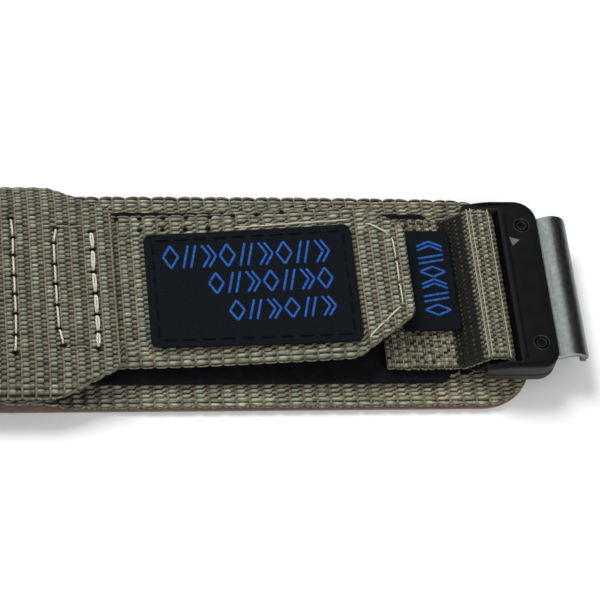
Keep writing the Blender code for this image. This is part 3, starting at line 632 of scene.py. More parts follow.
def mark_finish(settings):
    """Grey print."""
    sheet = NodeSheet("grey_mark")
    tone = sheet.shaded(settings.mark, (sheet.noise(6000.0, 3.0), 0.3, 0.7, 0.8, 1.15))
    return sheet.finish(Base_Color=tone, Roughness=0.6, Specular_IOR_Level=0.3)


def smooth_step(value, start=0.0, reach=1.0):
    """0 to 1 with level ends, as the value goes from start over the reach."""
    held = np.clip((value - start) / reach, 0.0, 1.0)
    return held * held * (3.0 - 2.0 * held)


def arc(share, least=0.0):
    """Height of a quarter round, from 0 at its foot to 1 at its crest."""
    return np.sqrt(np.clip(1.0 - (1.0 - np.clip(share, 0.0, 1.0)) ** 2, least, 1.0))


def soft_ramp(value, reach):
    """The value where it is above 0, with its corner at 0 rounded over the reach."""
    return max(0.0, value) if abs(value) >= reach else (value + reach) ** 2 / (4.0 * reach)


def chance(*parts):
    """A repeatable number from 0 to 1 for whole numbers, array by array."""
    mixed = np.zeros(np.broadcast(*parts).shape)
    for part, factor in zip(parts, (12.9898, 78.233, 37.719)):
        mixed = mixed + np.asarray(part) * factor
    return np.modf(np.abs(np.sin(mixed) * 43758.5453))[0]


def curve_through(points, steps):
    """Points on a smooth curve through the given (x, z) points."""
    ends = np.array([points[0], *points, points[-1]])
    line = []
    for before, start, end, after in zip(ends, ends[1:], ends[2:], ends[3:]):
        for t in np.arange(steps) / steps:
            line.append(0.5 * (
                2 * start + (end - before) * t + (2 * before - 5 * start + 4 * end - after) * t ** 2
                + (3 * start - before - 3 * end + after) * t ** 3))
    return np.array(line + [ends[-1]])


def unit(vectors):
    """Vectors made one long."""
    return vectors / np.linalg.norm(vectors, axis=-1, keepdims=True)


def summed(steps):
    """The running sum of steps, from 0."""
    return np.concatenate([[0.0], np.cumsum(steps)])


class Path:
    """The middle line of a strip in the X-Z plane, read by length along it."""

    def __init__(self, points):
        self.points = np.asarray(points, float)
        self.places = summed(np.hypot(*np.diff(self.points, axis=0).T))
        self.length = self.places[-1]

    def at(self, along):
        """Points (x, z) at lengths along the line."""
        return np.stack([np.interp(along, self.places, self.points[:, n]) for n in (0, 1)], -1)

    def normal(self, along):
        """Unit normals, on the left of the way along the line."""
        reach = 0.00012
        way = unit(self.at(np.minimum(along + reach, self.length)) - self.at(np.maximum(along - reach, 0.0)))
        return np.stack([-way[..., 1], way[..., 0]], -1)

    def along_at(self, x):
        """Length along the line where it first passes x, on its way towards +X."""
        turn = int(np.argmax(self.points[:, 0])) + 1
        return np.interp(x, self.points[:turn, 0], self.places[:turn])

    def over(self, x, y, lift):
        """A point (x, y, z) a distance above the line."""
        along = self.along_at(x)
        middle = self.at(along) + lift * self.normal(along)
        return np.array([middle[0], y, middle[1]])


def level_path(box, level):
    """A level path along a box."""
    return Path([(box[0].x, level), (box[1].x, level)])


def new_piece(name, mesh, finish, body, slot, *replaced):
    """Link a mesh as a piece that rides on a body, and turn it with the flap when it is sewn to that."""
    if body in ("flap", None):
        skew(mesh)
    mesh.name = name
    mesh.materials.clear()
    mesh.materials.append(finish)
    piece = bpy.data.objects.new(name, mesh)
    bpy.context.scene.collection.objects.link(piece)
    if body:
        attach(piece, body)
    if replaced:
        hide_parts(*replaced)
    return piece


def skew(mesh):
    """Turn a mesh a little across the strap, as the flap is pressed down not quite straight."""
    places = np.empty(len(mesh.vertices) * 3)
    mesh.vertices.foreach_get("co", places)
    places.reshape(-1, 3)[:, 1] += FLAP_SKEW * (np.maximum(places[::3], FLAP[0].x) - FLAP_SKEW_CENTRE)
    mesh.vertices.foreach_set("co", places)
    mesh.update()


def end_piece(side, name, mesh, finish, body, slot, *replaced):
    """A piece of the right end, or the same turned half round at the left end."""
    if side == "left":
        mesh.transform(Matrix.Rotation(math.pi, 4, "Z"))
        mesh.update()
    new_piece(side + name, mesh, finish, body, slot, *(side + node for node in replaced))


def both_ends(name, build, finish, bodies, slot, *replaced):
    """The same piece at the right and the left end."""
    for side, body in zip(SIDES, bodies):
        end_piece(side, name, build(), finish, body, slot, *replaced)


class Pit:
    """A place where a stitch pulls the cloth in, with painted shade in its hollow."""

    def __init__(self, x, y, reach=(0.00036, 0.00032), depth=0.00025):
        self.x, self.y, self.reach, self.depth = x, y, reach, depth

    def hollow(self, x, y):
        """How deep the cloth is pulled in here, as a share of the pit's depth."""
        return np.exp(-((x - self.x) / self.reach[0]) ** 2 - ((y - self.y) / self.reach[1]) ** 2)


class Weave:
    """A strip of ribbed webbing: its path, outline and thickness, and the mesh of its weave."""

    # shaded gives, at each x, the share of painted shade laid on the weave's relief mask
    def __init__(self, path, edges_at, half_width, thickness, settings, seed, rib_share=1.0, yarn_share=1.0,
                 droop_at=None, pits=(), shaded=np.zeros_like, brown_at=np.zeros_like, ragged_at=np.zeros_like,
                 wide_band=0.0, swell=0.0, covered=0.0):
        self.path, self.edges_at, self.half_width = path, edges_at, half_width
        self.thickness, self.settings, self.seed = thickness, settings, seed
        self.rib_pitch = settings.rib_pitch * rib_share
        self.yarn_pitch = settings.yarn_pitch * yarn_share
        self.droop_at, self.pits, self.shaded = droop_at, pits, shaded
        self.brown_at, self.ragged_at = brown_at, ragged_at
        self.wide_band, self.swell, self.covered = wide_band, swell, covered

    def stations(self):
        """Lengths along the path where the mesh has a column of points."""
        pitch, length, ends = self.rib_pitch, self.path.length, self.settings.edge_round
        ribs = range(-1, int(length / pitch) + 2)
        inner = [(rib + share) * pitch for rib in ribs for share in RIB_SHARES]
        inner = [s for s in inner if ends * 1.3 < s < length - ends * 1.3]
        start = [0.0, ends * 0.15, ends * 0.5, ends]
        return np.array(start + inner + [length - s for s in reversed(start)])

    def rows(self, shares):
        """Yarn numbers and shares of a yarn for the points across a face."""
        ends = self.settings.edge_round
        width = 2 * (self.half_width - ends)
        count = int(round(width / self.yarn_pitch))
        yarns, places = [], []
        for yarn in range(count):
            middle = -self.half_width + ends + (yarn + 0.5) * width / count
            chosen = COVERED_YARN_SHARES if abs(middle) < self.covered else shares
            yarns += [yarn] * len(chosen)
            places += chosen
        return np.array(yarns + [count]), np.array(places + [0.0]), count

    def face(self, s, x, shares, side):
        """One face of the weave: y, height above the strip's middle, and its masks."""
        yarn, share, count = self.rows(shares)
        first = -self.half_width + self.settings.edge_round
        pitch = 2 * (self.half_width - self.settings.edge_round) / count
        q = s / self.rib_pitch
        rib = np.floor(q + 1e-6)[:, None]
        p = q[:, None] - rib
        from_edge = np.minimum(yarn + share, count - yarn - share)
        wide = from_edge < self.wide_band
        ragged = self.ragged_at(x)[:, None]
        on_weft = np.minimum(p, 1.0 - p) < WEFT_SHARE
        turn = np.where(wide, WIDE_TURN_SHARE, TURN_SHARE)
        second = p > turn
        start = np.where(second, turn, WEFT_SHARE)
        end = np.where(second, 1.0 - WEFT_SHARE, turn)
        dive = np.abs(np.clip((2 * p - start - end) / (end - start), -1.0, 1.0)) ** 4
        half_rib = rib * 2 + second
        colour = np.where(on_weft, 0.5, second)
        stagger = colour * STAGGER_SHARE * smooth_step(from_edge - 1.0)
        wobble = (YARN_WOBBLE + ragged) * (chance(half_rib, yarn, self.seed) - 0.5) * (share > 0)
        y = first + (yarn + share + stagger + wobble) * pitch
        pill = 0.6 * chance(half_rib, yarn, self.seed + 7 * side) + 0.4 * chance(rib, 5, self.seed)
        reach = np.where(second, *PILL_REACH) + 0.15 * chance(yarn, half_rib, self.seed + 3) + 0.12 * ragged
        height = np.sqrt(np.clip(1.0 - np.abs((2.0 * share - 1.0) / reach) ** PILL_ROUND, 0.0, 1.0))
        height = height * (1.0 - PILL_DIVE * dive) + PILL_END_LEVEL * dive
        height = height * np.where(second, SECOND_LEVEL, 1.0)
        height = height * (0.88 + 0.12 * pill - ragged * 0.4 * (1.0 - pill))
        line = np.where(wide, WIDE_WEFT_LEVEL, WEFT_LEVEL) + 0.10 * np.cos(2 * np.pi * share)
        height = np.where(on_weft, line, height)
        height = np.where(np.abs(y) < self.covered - self.yarn_pitch, COVERED_LEVEL, height)
        brown = np.maximum(colour, self.brown_at(x)[:, None])
        # The first mask is the yarn's height, from which the finish paints shade in the slits and a highlight
        # on the crowns
        masks = np.stack(np.broadcast_arrays(height, brown, np.where(on_weft, 0.95, 0.0), pill), -1)
        fall = (1.0 - EDGE_LEVEL_SHARE) * (1.0 - arc(from_edge / EDGE_YARNS)) * self.thickness / 2
        return y, (height - 1.0) * self.settings.relief - fall, masks

    def bumps(self, s):
        """How far the woven edge stands out at each rib, at lengths along the path."""
        turn = np.pi * s / self.rib_pitch
        scallop = self.settings.scallop * (np.abs(np.sin(turn)) ** 0.6 - 0.8)
        return scallop + self.swell * np.abs(np.sin(turn / 2))

    def caps(self, s, inner, halves):
        """The woven edge on the far and the near side, from face to face."""
        sheets = []
        share = np.modf(s / self.rib_pitch)[0][:, None]
        swell = np.abs(np.sin(2 * np.pi * share)) ** 0.7
        tone = chance(np.floor(s / self.rib_pitch)[:, None] * 2 + (share > TURN_SHARE), 3, self.seed)
        for way, edge, half in zip((1, -1), inner, halves):
            angles = np.radians(EDGE_ANGLES[::way])
            swing = self.settings.edge_round * np.cos(angles) * (0.8 + 0.3 * swell)
            # The woven edge gets a lower height mask: painted shade on it
            relief = 0.42 + 0.22 * swell - 0.1 * np.cos(3 * angles)
            masks = np.stack(np.broadcast_arrays(relief, 1.0, 0.0, tone), -1)
            sheets.append((edge + way * swing, half[:, None] * np.sin(angles), masks))
        return sheets

    def build(self):
        """The closed mesh, with the masks that its finish reads."""
        settings, s = self.settings, self.stations()
        x = self.path.at(s)[:, 0]
        near, far = np.array([self.edges_at(v) for v in x]).T
        near, far = near - self.bumps(s), far + self.bumps(s)
        frayed = self.ragged_at(x) * self.yarn_pitch * 0.5
        near = near + frayed * (chance(np.floor(2.5 * s / self.rib_pitch), self.seed) - 0.5)
        near, far = (near + settings.edge_round)[:, None], (far - settings.edge_round)[:, None]
        from_end = np.minimum(s, self.path.length - s) / settings.edge_round
        full = self.thickness / 2 * arc(from_end, 0.12)[:, None]
        painted_shade = self.shaded(x)[:, None]
        sheets = []
        for side, shares in ((1, YARN_SHARES), (-1, BACK_YARN_SHARES)):
            y, height, masks = self.face(s, x, shares, side)
            outside = np.maximum(near - y, y - far)
            y = np.clip(y, near, far)
            past = outside > self.yarn_pitch * 0.2
            fade = smooth_step(1.0 - outside / self.yarn_pitch)
            level = np.where(past, full - settings.relief * (0.5 + 0.2 * fade), full + height)
            # Points held at the edge get a lower height mask: painted shade where the cloth falls off
            relief = np.where(past, masks[..., 0] * 0.45 + 0.2, masks[..., 0])
            for pit in (self.pits if side > 0 else ()):
                hollow = pit.hollow(x[:, None], y)
                level = level - pit.depth * hollow
                # A pit's hollow lowers the height mask: painted shade in the stitch hole
                relief = relief * (1.0 - np.clip(hollow * 2.2 - 0.3, 0.0, 1.0))
            # Painted shade: the relief mask, and so the colour, is lowered by the share that shaded gives
            masks[..., 0] = np.clip((relief - painted_shade) / (1.0 - painted_shade), 0.0, 1.0) * (1.0 - 0.55 * painted_shade)
            sheets.append((y[:, ::side], side * level[:, ::side], masks[:, ::side]))
        top, under = sheets
        far_cap, near_cap = self.caps(s, (far, near), (top[1][:, -1], top[1][:, 0]))
        y, level, masks = (np.concatenate(parts, 1) for parts in zip(top, far_cap, under, near_cap))
        droop = self.droop_at(x[:, None], y) if self.droop_at else 0.0
        return closed_strip(self.path, s, y, level, masks, droop)


def mesh_from(body, mesh=None, smooth=True):
    """The mesh of a bmesh, which is freed."""
    mesh = mesh or bpy.data.meshes.new("shape")
    body.to_mesh(mesh)
    body.free()
    if smooth:
        mesh.shade_smooth()
    return mesh


def ring_faces(index):
    """Faces over rings of numbered points, closed at both ends."""
    a, b = index[:-1], index[1:]
    quads = np.stack([a, np.roll(a, -1, 1), np.roll(b, -1, 1), b], -1).reshape(-1, 4)
    return quads.tolist() + [index[0][::-1].tolist(), index[-1].tolist()]


def cloth_mesh(points, faces, cloth, masks):
    """A smooth mesh with the attributes that the finishes read."""
    mesh = bpy.data.meshes.new("cloth")
    mesh.from_pydata(points.reshape(-1, 3).tolist(), [], faces)
    for name, kind, key, values in (
            ("weave", "FLOAT_COLOR", "color", masks), ("cloth", "FLOAT_VECTOR", "vector", cloth)):
        if values is not None:
            spread = mesh.attributes.new(name, kind, "POINT")
            spread.data.foreach_set(key, values.astype(np.float32).ravel())
    mesh.shade_smooth()
    return mesh


def closed_strip(path, s, y, level, masks=None, droop=0.0):
    """A mesh from a ring of points at each length s along a path, closed at both ends."""
    middle, normal = path.at(s), path.normal(s)
    x, z = middle[:, :1] + normal[:, :1] * level, middle[:, 1:] + normal[:, 1:] * level - droop
    points = np.stack([x, y, z], -1)
    cloth = np.stack([s[:, None] + 0 * y, y, (level > 0) * PAD_THICKNESS], -1)
    mesh = cloth_mesh(points, ring_faces(np.arange(y.size).reshape(y.shape)), cloth, masks)
    lay_out(mesh, points)
    body = bmesh.new()
    body.from_mesh(mesh)
    bmesh.ops.remove_doubles(body, verts=body.verts, dist=WELD_REACH)
    return mesh_from(body, mesh)


def lay_out(mesh, points):
    """A flat map of the strip: along it by columns, and round it by places on the ring."""
    margin = 0.006
    columns, ring = points.shape[:2]
    along = summed(np.linalg.norm(np.diff(points, axis=0), axis=-1).mean(1))
    middle = points[columns // 2]
    round_it = summed(np.linalg.norm(np.roll(middle, -1, 0) - middle, axis=-1))
    u = margin + (1.0 - 2 * margin) * along / along[-1]
    v = round_it / round_it[-1]
    i, k = np.meshgrid(np.arange(columns - 1), np.arange(ring), indexing="ij")
    corners = ((i, k), (i, k + 1), (i + 1, k + 1), (i + 1, k))
    places = [np.stack([np.stack([u[c], v[r]], -1) for c, r in corners], 2).reshape(-1, 2)]
    heights = points[0][:, 2]
    lift = (heights - heights.min()) / max(np.ptp(heights), 1e-9) * margin / 2
    for low, order in ((0.0, -1), (1.0 - margin / 2, 1)):
        places.append(np.stack([low + lift, v[:-1]], -1)[::order])
    layer = mesh.uv_layers.new(name="OFBake")
    layer.data.foreach_set("uv", np.concatenate(places).astype(np.float32).ravel())


def sheet_mesh(path, edges_at, thickness, pitch, edge_round, relief_at=None):
    """A plain strip along a path, with rounded edges and an even grid of points on top."""
    count = max(4, int(round((path.length - 2 * edge_round) / pitch)))
    start = edge_round * np.array((0.0, 0.13, 0.5))
    inner = np.linspace(edge_round, path.length - edge_round, count)
    s = np.concatenate([start, inner, path.length - start[::-1]])
    near, far = np.array([edges_at(v) for v in path.at(s)[:, 0]]).T[..., None]
    half, inside = thickness / 2, far - near - 2 * edge_round
    end_round = arc(np.minimum(s, path.length - s) / edge_round, 0.1)[:, None]
    flat = half * (1.0 - (1.0 - end_round) * min(1.0, edge_round / half))
    rows = max(4, int(round(float((far - near).max()) / pitch)))
    top = near + edge_round + inside * np.linspace(0.0, 1.0, rows + 1)
    back = near + edge_round + inside * np.linspace(1.0, 0.0, rows // 3 + 1)
    lift = relief_at(s[:, None], top) if relief_at else 0 * top
    angles = np.radians(EDGE_ANGLES)
    turn = edge_round * (1 - np.cos(angles))
    edge = np.sign(np.sin(angles)) * (flat - min(edge_round, half) * (1.0 - np.abs(np.sin(angles))))
    y = np.concatenate([top, far - turn, back, near + turn[::-1]], 1)
    level = np.concatenate([flat + lift, edge, -flat + 0 * back, edge[:, ::-1]], 1)
    return closed_strip(path, s, y, level)


def tube_mesh(lines, wide, high, ply=0.0):
    """A thread along each line: an oval, or two plies twisted together."""
    points, masks, cloth, faces, base = [], [], [], [], 0
    angle = np.linspace(0.0, 2 * np.pi, THREAD_SIDES, endpoint=False)
    for line in lines:
        line = np.asarray(line, float)
        ahead = line[-1] - line[0]
        side = unit(np.array([-ahead[1], ahead[0], 0.0]))
        up = unit(np.cross(side, unit(np.gradient(line, axis=0))))
        along = summed(np.linalg.norm(np.diff(line, axis=0), axis=1))[:, None]
        lobe = np.cos(2 * (angle - 2 * np.pi * along / ply)) if ply else 0.0 * (angle + along)
        reach = (1.0 + 0.2 * lobe) / (1.2 if ply else 1.0)
        ring = line[:, None] + (reach * np.cos(angle) * wide)[..., None] * side
        points.append(ring + (reach * np.sin(angle) * high)[..., None] * up[:, None])
        faces += ring_faces(base + np.arange(lobe.size).reshape(lobe.shape))
        # The first mask is high on the plies and low in the grooves between them, where twisted thread gets
        # painted shade
        masks.append(np.stack(np.broadcast_arrays(0.5 + 0.5 * lobe, 0.0, 0.0, 0.5), -1))
        cloth.append(np.stack(np.broadcast_arrays(along, angle * wide, base * wide), -1))
        base += lobe.size
    return cloth_mesh(np.concatenate(points), faces, np.concatenate(cloth), np.concatenate(masks))


def stitches(holes, surface, radius, bulge=0.0):
    """A row of stitches from hole to hole, each starting just past the last one's end."""
    share = np.linspace(0.0, 1.0, STITCH_POINTS)
    rise = smooth_step(np.minimum(share, 1.0 - share) / STITCH_RISE_SHARE)
    holes = np.array(holes)
    rows = []
    for start, end in zip(holes, holes[1:]):
        inset = (end - start) * STITCH_INSET_SHARE
        start, end = start + inset, end - inset
        line = []
        for part, lift in zip(share, rise):
            x, y = start + (end - start) * part
            bow = bulge * math.sin(math.pi * part) ** 0.6
            line.append(surface(x + bow, y, radius * 0.9 * lift - STITCH_DIVE * (1.0 - lift)))
        rows.append(line)
    return rows


def knots(holes, surface, reach, lift=KNOT_LIFT):
    """A short dark loop of the under thread across each hole."""
    return [[surface(x + reach * share, y, lift - KNOT_BEND * share ** 4)
             for share in (-1.0, -0.5, 0.0, 0.5, 1.0)] for x, y in holes]


def dashes(start, end, pitch):
    """Holes at even steps from start to end."""
    start, end = np.array(start), np.array(end)
    count = max(1, int(round(np.linalg.norm(end - start) / pitch)))
    return [tuple(start + (end - start) * n / count) for n in range(count + 1)]


def rounded_half(x, low, high, half_width, corner):
    """Half the width at x of a strip whose corners are rounded."""
    inset = min(max(low + corner - x, x - (high - corner), 0.0), corner)
    return half_width - corner + math.sqrt(corner ** 2 - inset ** 2)


def rounded_edges(box, corner):
    """The edges_at function of a box with rounded corners."""
    half, middle = (box[1].y - box[0].y) / 2, (box[1].y + box[0].y) / 2

    def edges_at(x):
        reach = rounded_half(x, box[0].x, box[1].x, half, corner)
        return middle - reach, middle + reach

    return edges_at


def near_retreat(x):
    """How far the pad's near edge keeps back at x, under the closure."""
    return PAD_NEAR_RETREAT * (1.0 - float(smooth_step(x, PAD_RETREAT_END, PAD_RETREAT_LENGTH)))


def pad_painted_shadow(x):
    """Share of the pad's relief mask lowered at x, beside the closure's near edge: painted shadow."""
    return PAD_SHADE * (1.0 - smooth_step(x, PAD_SHADE_START, PAD_SHADE_LENGTH))


def pad_edges(x):
    """Near and far edge of the pad, whose far edge swells a little along its middle."""
    near, far = rounded_edges(PAD, WIDE_CORNER)(x)
    reach = (PAD[1].x - PAD[0].x) / 2
    share = (x - PAD[0].x - reach) / reach
    return near + near_retreat(x), far + PAD_FAR_OVERHANG * max(0.0, 1.0 - abs(share) ** 3)


def lining_edges(x):
    """Near and far edge of the lining, just past the pad's."""
    near, far = pad_edges(x)
    return near - near_retreat(x) - LINING_OVERHANG, far + LINING_OVERHANG / 2


def pad_browning(x):
    """How brown the pad's green yarns look at x: more towards the connector."""
    return 0.15 + 0.75 * smooth_step(x, PAD_BROWN_START, PAD_BROWN_LENGTH)


def loop_browning(x):
    """How brown an anchor loop's green yarns look at x: the tab more than the crest."""
    return 0.95 - 0.6 * smooth_step(x, SIDE_LABEL[1].x, LOOP_BROWN_LENGTH)


def loop_raggedness(x):
    """How uneven an anchor loop's pills are at x: the tab more than the crest."""
    return LOOP_RAGGED * (1.0 - smooth_step(x, SIDE_LABEL[1].x, LOOP_RAGGED_LENGTH))


def loop_painted_shade(x):
    """Share of the weave's relief mask lowered at x, where the loop climbs from the label to the crest: painted
    shade.
    """
    end = BAR_CENTRE.x - LOOP_CREST / 2 - LOOP_SHADE_END
    climbed = smooth_step(x, SIDE_LABEL[1].x, LOOP_SHADE_EDGE)
    return LOOP_SHADE * (climbed * smooth_step(end - x, 0.0, LOOP_SHADE_EDGE))


def label_path():
    """Middle line of the side label, whose free end leans on the rising loop."""
    level = (SIDE_LABEL[0].z + SIDE_LABEL[1].z) / 2
    end = SIDE_LABEL[1].x
    return Path([(SIDE_LABEL[0].x, level), (end, level),
                 (end + LABEL_OVERHANG / 2, level + LABEL_LEAN / 3),
                 (end + LABEL_OVERHANG, level + LABEL_LEAN)])


def over_flap(x):
    """0 to 1 as the closure webbing steps up onto the flap under it."""
    return smooth_step(x, ROOT[0].x - STEP_SETBACK - STEP_LENGTH, STEP_LENGTH)


def closure_level(x):
    """Height of the closure webbing's middle line."""
    to_mid = smooth_step(x, PAD[0].x - DESCENT_SETBACK - DESCENT_LENGTH, DESCENT_LENGTH)
    return CLOSURE_LOW + (CLOSURE_MID - CLOSURE_LOW) * to_mid + (CLOSURE_HIGH - CLOSURE_MID) * over_flap(x)


def closure_droop(x, y):
    """How far the closure webbing's edges hang down beside the flap under it."""
    flap_edge = NARROW_HALF_WIDTH + LAYER_GAP
    return EDGE_DROOP * over_flap(x) * smooth_step(np.abs(y), flap_edge, WIDE_HALF_WIDTH - flap_edge)


def closure_top(x, y, lift):
    """A point above the closure webbing."""
    level = closure_level(x) - closure_droop(x, y) + PAD_THICKNESS / 2
    return np.array([x, y, float(level) + lift])


def closure_edges(x):
    """Near and far edge of the closure webbing: rounded at the left, tapered at the right."""
    half = WIDE_HALF_WIDTH
    if x < CLOSURE[0].x + WIDE_CORNER:
        half = rounded_half(x, CLOSURE[0].x, CLOSURE[1].x, WIDE_HALF_WIDTH, WIDE_CORNER)
    taper = soft_ramp(x - (CLOSURE[1].x - TAPER_LENGTH), CUT_ROUND) / TAPER_LENGTH
    overhang = CLOSURE_OVERHANG * float(smooth_step(x, PAD[0].x, STEP_LENGTH))
    return taper * NEAR_TAPER_DEPTH - half - overhang, half - taper * FAR_TAPER_DEPTH


def box_pits():
    """The pits of the closure webbing's stitches."""
    pits = []
    for row in BOX_ROWS:
        for x, y in row:
            pits += [Pit(x, y), Pit(x, y, BOX_SLIT), Pit(x, y, BOX_SLIT)]
    for row in BOX_SIDES:
        for (x0, y0), (x1, y1) in zip(row, row[1:]):
            reach = ((x1 - x0) * SIDE_PIT_SHARE, SIDE_ROW_SHIFT)
            pits.append(Pit((x0 + x1) / 2, (y0 + y1) / 2 + SIDE_ROW_SHIFT, reach, SIDE_PIT_DEPTH))
    return pits


def flap_path():
    """Middle line of the flap's webbing, from its sewn root to its tip."""
    reach = FLAP[1].x - FLAP[0].x
    points = [(FLAP[0].x + reach * along, FLAP_LEVEL + TIP_LIFT * rise) for along, rise in FLAP_RISE_SHARES]
    return Path(np.concatenate([[(ROOT[0].x, FLAP_LEVEL)], curve_through(points, 12)]))


def flap_edges(x, margin=0.0):
    """Near and far edge of the flap less a margin, with its two cut corners softened."""
    half, tip = NARROW_HALF_WIDTH - margin, FLAP[1].x - margin
    near_cut, far_cut = (soft_ramp(x - (tip - along), CUT_ROUND) * across / along for along, across in (
        NEAR_CUT, FAR_CUT))
    tip_round = CUT_ROUND - math.sqrt(max(0.0, CUT_ROUND ** 2 - max(0.0, x - tip + CUT_ROUND) ** 2))
    return near_cut + tip_round - half, half + FLAP_FAR_OVERHANG - far_cut - tip_round


def tape_edges(x):
    """Near and far edge of the loop tape, whose far edge is a little uneven."""
    near, far = rounded_edges(LOOP_TAPE, TAPE_CORNER)(x)
    waves = sum(math.sin(x / wave) for wave in TAPE_WAVE_LENGTHS) / len(TAPE_WAVE_LENGTHS)
    return near, far + TAPE_FAR_OVERHANG + TAPE_WAVE * waves


def patch_edges(x):
    """Near and far edge of the patch, which is sewn on a little nearer and wider than its solid."""
    near, far = rounded_edges(PATCH, PATCH_CORNER)(x)
    share = (x - PATCH[0].x) / (PATCH[1].x - PATCH[0].x)
    flare = PATCH_FLARE[0] + (PATCH_FLARE[1] - PATCH_FLARE[0]) * share
    return near - PATCH_SHIFT - flare, far - PATCH_SHIFT + flare


def flap_surface(x, y, lift):
    """A point above the flap's webbing."""
    return flap_path().over(x, y, NARROW_THICKNESS / 2 + lift)


def border_holes():
    """Stitch holes along the flap's far border, in an outer and an inner row."""
    outer, inner = (dashes(start, end, STITCH_PITCH) for start, end in BORDER_ROWS)
    return outer + list(BORDER_END_HOLES) + inner


def below_flap(drop, start, end):
    """A path parallel to the flap's, a distance below it, from one x to another."""
    path = flap_path()
    s = np.linspace(path.along_at(start), path.along_at(end), 120)
    return Path(path.at(s) - drop * path.normal(s))


def loop_path(side):
    """Middle line of an anchor loop round the right bar, tab first, in the strap's frame."""
    radius = LOOP[1].z - NARROW_THICKNESS / 2 - BAR_CENTRE.z
    leg = PAD[1].z + LAYER_GAP + NARROW_THICKNESS / 2 - BAR_CENTRE.z
    base = {"right": LOOP_TAPE, "left": PAD}[side][1].z + LAYER_GAP + NARROW_THICKNESS / 2 - BAR_CENTRE.z
    half_flat = LOOP_CREST / 2
    rise = -half_flat - LOOP_RISE
    line = [(LOOP[0].x - BAR_CENTRE.x, base), (rise, base)]
    for share in np.linspace(0.0, 1.0, 24)[1:]:
        line.append((rise + LOOP_RISE * share, base + (radius - base) * float(smooth_step(share))))
    for angle in np.radians(np.linspace(90, -90, 40)):
        line.append((half_flat + radius * math.cos(angle), radius * math.sin(angle)))
    for share in np.linspace(0.0, 1.0, 12)[1:]:
        line.append((half_flat - LOOP_LEG[side] * share, -radius + (leg + radius) * float(smooth_step(share))))
    return Path(np.array(line) + np.array([BAR_CENTRE.x, BAR_CENTRE.z]))


def housing_outline():
    """Plan of a housing shell: two arms towards -x, and a body with two rounded corners."""
    half, tail, inner = COVER_HALF_WIDTH, COVER[0].x, COVER_HALF_WIDTH - ARM_THICKNESS
    corner = Vector((COVER[1].x - HOUSING_CORNER, half - HOUSING_CORNER))
    small = Vector((tail + ARM_CORNER, half - ARM_CORNER))
    outline = [corner + HOUSING_CORNER * Vector((math.sin(a), math.cos(a)))
               for a in np.linspace(math.pi / 2, 0.0, 11)]
    outline += [Vector((SLOT_EDGE + (small.x - SLOT_EDGE) * share, half)) for share in (0.25, 0.5, 0.75)]
    outline += [small + ARM_CORNER * Vector((-math.sin(a), math.cos(a)))
                for a in np.linspace(0.0, math.pi / 2, 4)]
    outline += [Vector((SLOT_EDGE + (tail - SLOT_EDGE) * share, inner))
                for share in (1.0, 0.75, 0.5, 0.25, 0.0)]
    return outline + [Vector((point.x, -point.y)) for point in reversed(outline)]


def rough_piece(name, body):
    """An object from a bmesh."""
    piece = bpy.data.objects.new(name, mesh_from(body))
    bpy.context.scene.collection.objects.link(piece)
    return piece


def boxed(low, high):
    """A box between two corners, as a temporary object."""
    body = bmesh.new()
    bmesh.ops.create_cube(body, size=1.0)
    low, high = Vector(low), Vector(high)
    for vert in body.verts:
        vert.co = Vector(a * b for a, b in zip(vert.co, high - low)) + (low + high) / 2
    return rough_piece("box", body)


def drum(centre, radius, low, high, lying=False):
    """A round cutter along z, or along y when it lies across the strap."""
    body = bmesh.new()
    bmesh.ops.create_cone(body, cap_ends=True, segments=32, radius1=radius, radius2=radius, depth=high - low)
    bmesh.ops.translate(body, verts=body.verts, vec=Vector((0.0, 0.0, (low + high) / 2)))
    if lying:
        bmesh.ops.rotate(body, verts=body.verts, matrix=Matrix.Rotation(math.pi / 2, 3, "X"))
    bmesh.ops.translate(body, verts=body.verts, vec=Vector(centre))
    return rough_piece("drum", body)


def bar_pocket():
    """The cutter of a shell's room for the bar."""
    half = (BAR[1].y - BAR[0].y) / 2 + BAR_PLAY
    return drum((BAR_CENTRE.x, 0.0, BAR_CENTRE.z), (BAR[1].z - BAR[0].z) / 2 + BAR_PLAY, -half, half, True)


def prism(outline, low, high):
    """A bmesh of an outline between two levels."""
    body = bmesh.new()
    face = body.faces.new([body.verts.new((x, y, low)) for x, y in outline])
    for item in bmesh.ops.extrude_face_region(body, geom=[face])["geom"]:
        if isinstance(item, bmesh.types.BMVert):
            item.co.z = high
    bmesh.ops.recalc_face_normals(body, faces=body.faces)
    return body


def rounded(piece, width, segments):
    """The piece with its sharp edges rounded."""
    edge = piece.modifiers.new("edges", "BEVEL")
    edge.width, edge.segments = width, segments
    edge.limit_method, edge.angle_limit = "ANGLE", math.radians(BEVEL_ANGLE)
    return piece


def worked(piece, *tools):
    """The mesh of a piece, exactly cut by each tool, and smooth between its sharp edges."""
    for tool in tools:
        step = piece.modifiers.new("cut", "BOOLEAN")
        step.operation, step.solver, step.object = "DIFFERENCE", "EXACT", tool
    mesh = bpy.data.meshes.new_from_object(piece.evaluated_get(bpy.context.evaluated_depsgraph_get()))
    for thing in (piece, *tools):
        bpy.data.objects.remove(thing, do_unlink=True)
    mesh.shade_smooth()
    mesh.set_sharp_from_angle(angle=math.radians(SHARP_ANGLE))
    return mesh


def shell_piece(low, high, top_slope, low_slope):
    """A housing shell: the outline between two levels, with arms that thin towards their tails."""
    body = prism(housing_outline(), low, high)
    for vert in body.verts:
        share = float(smooth_step((SLOT_EDGE - vert.co.x) / (SLOT_EDGE - COVER[0].x))) ** ARM_SLOPE_POWER
        vert.co.z += (-top_slope if vert.co.z > (low + high) / 2 else low_slope) * share
    return rounded(rough_piece("shell", body), HOUSING_EDGE, 3)


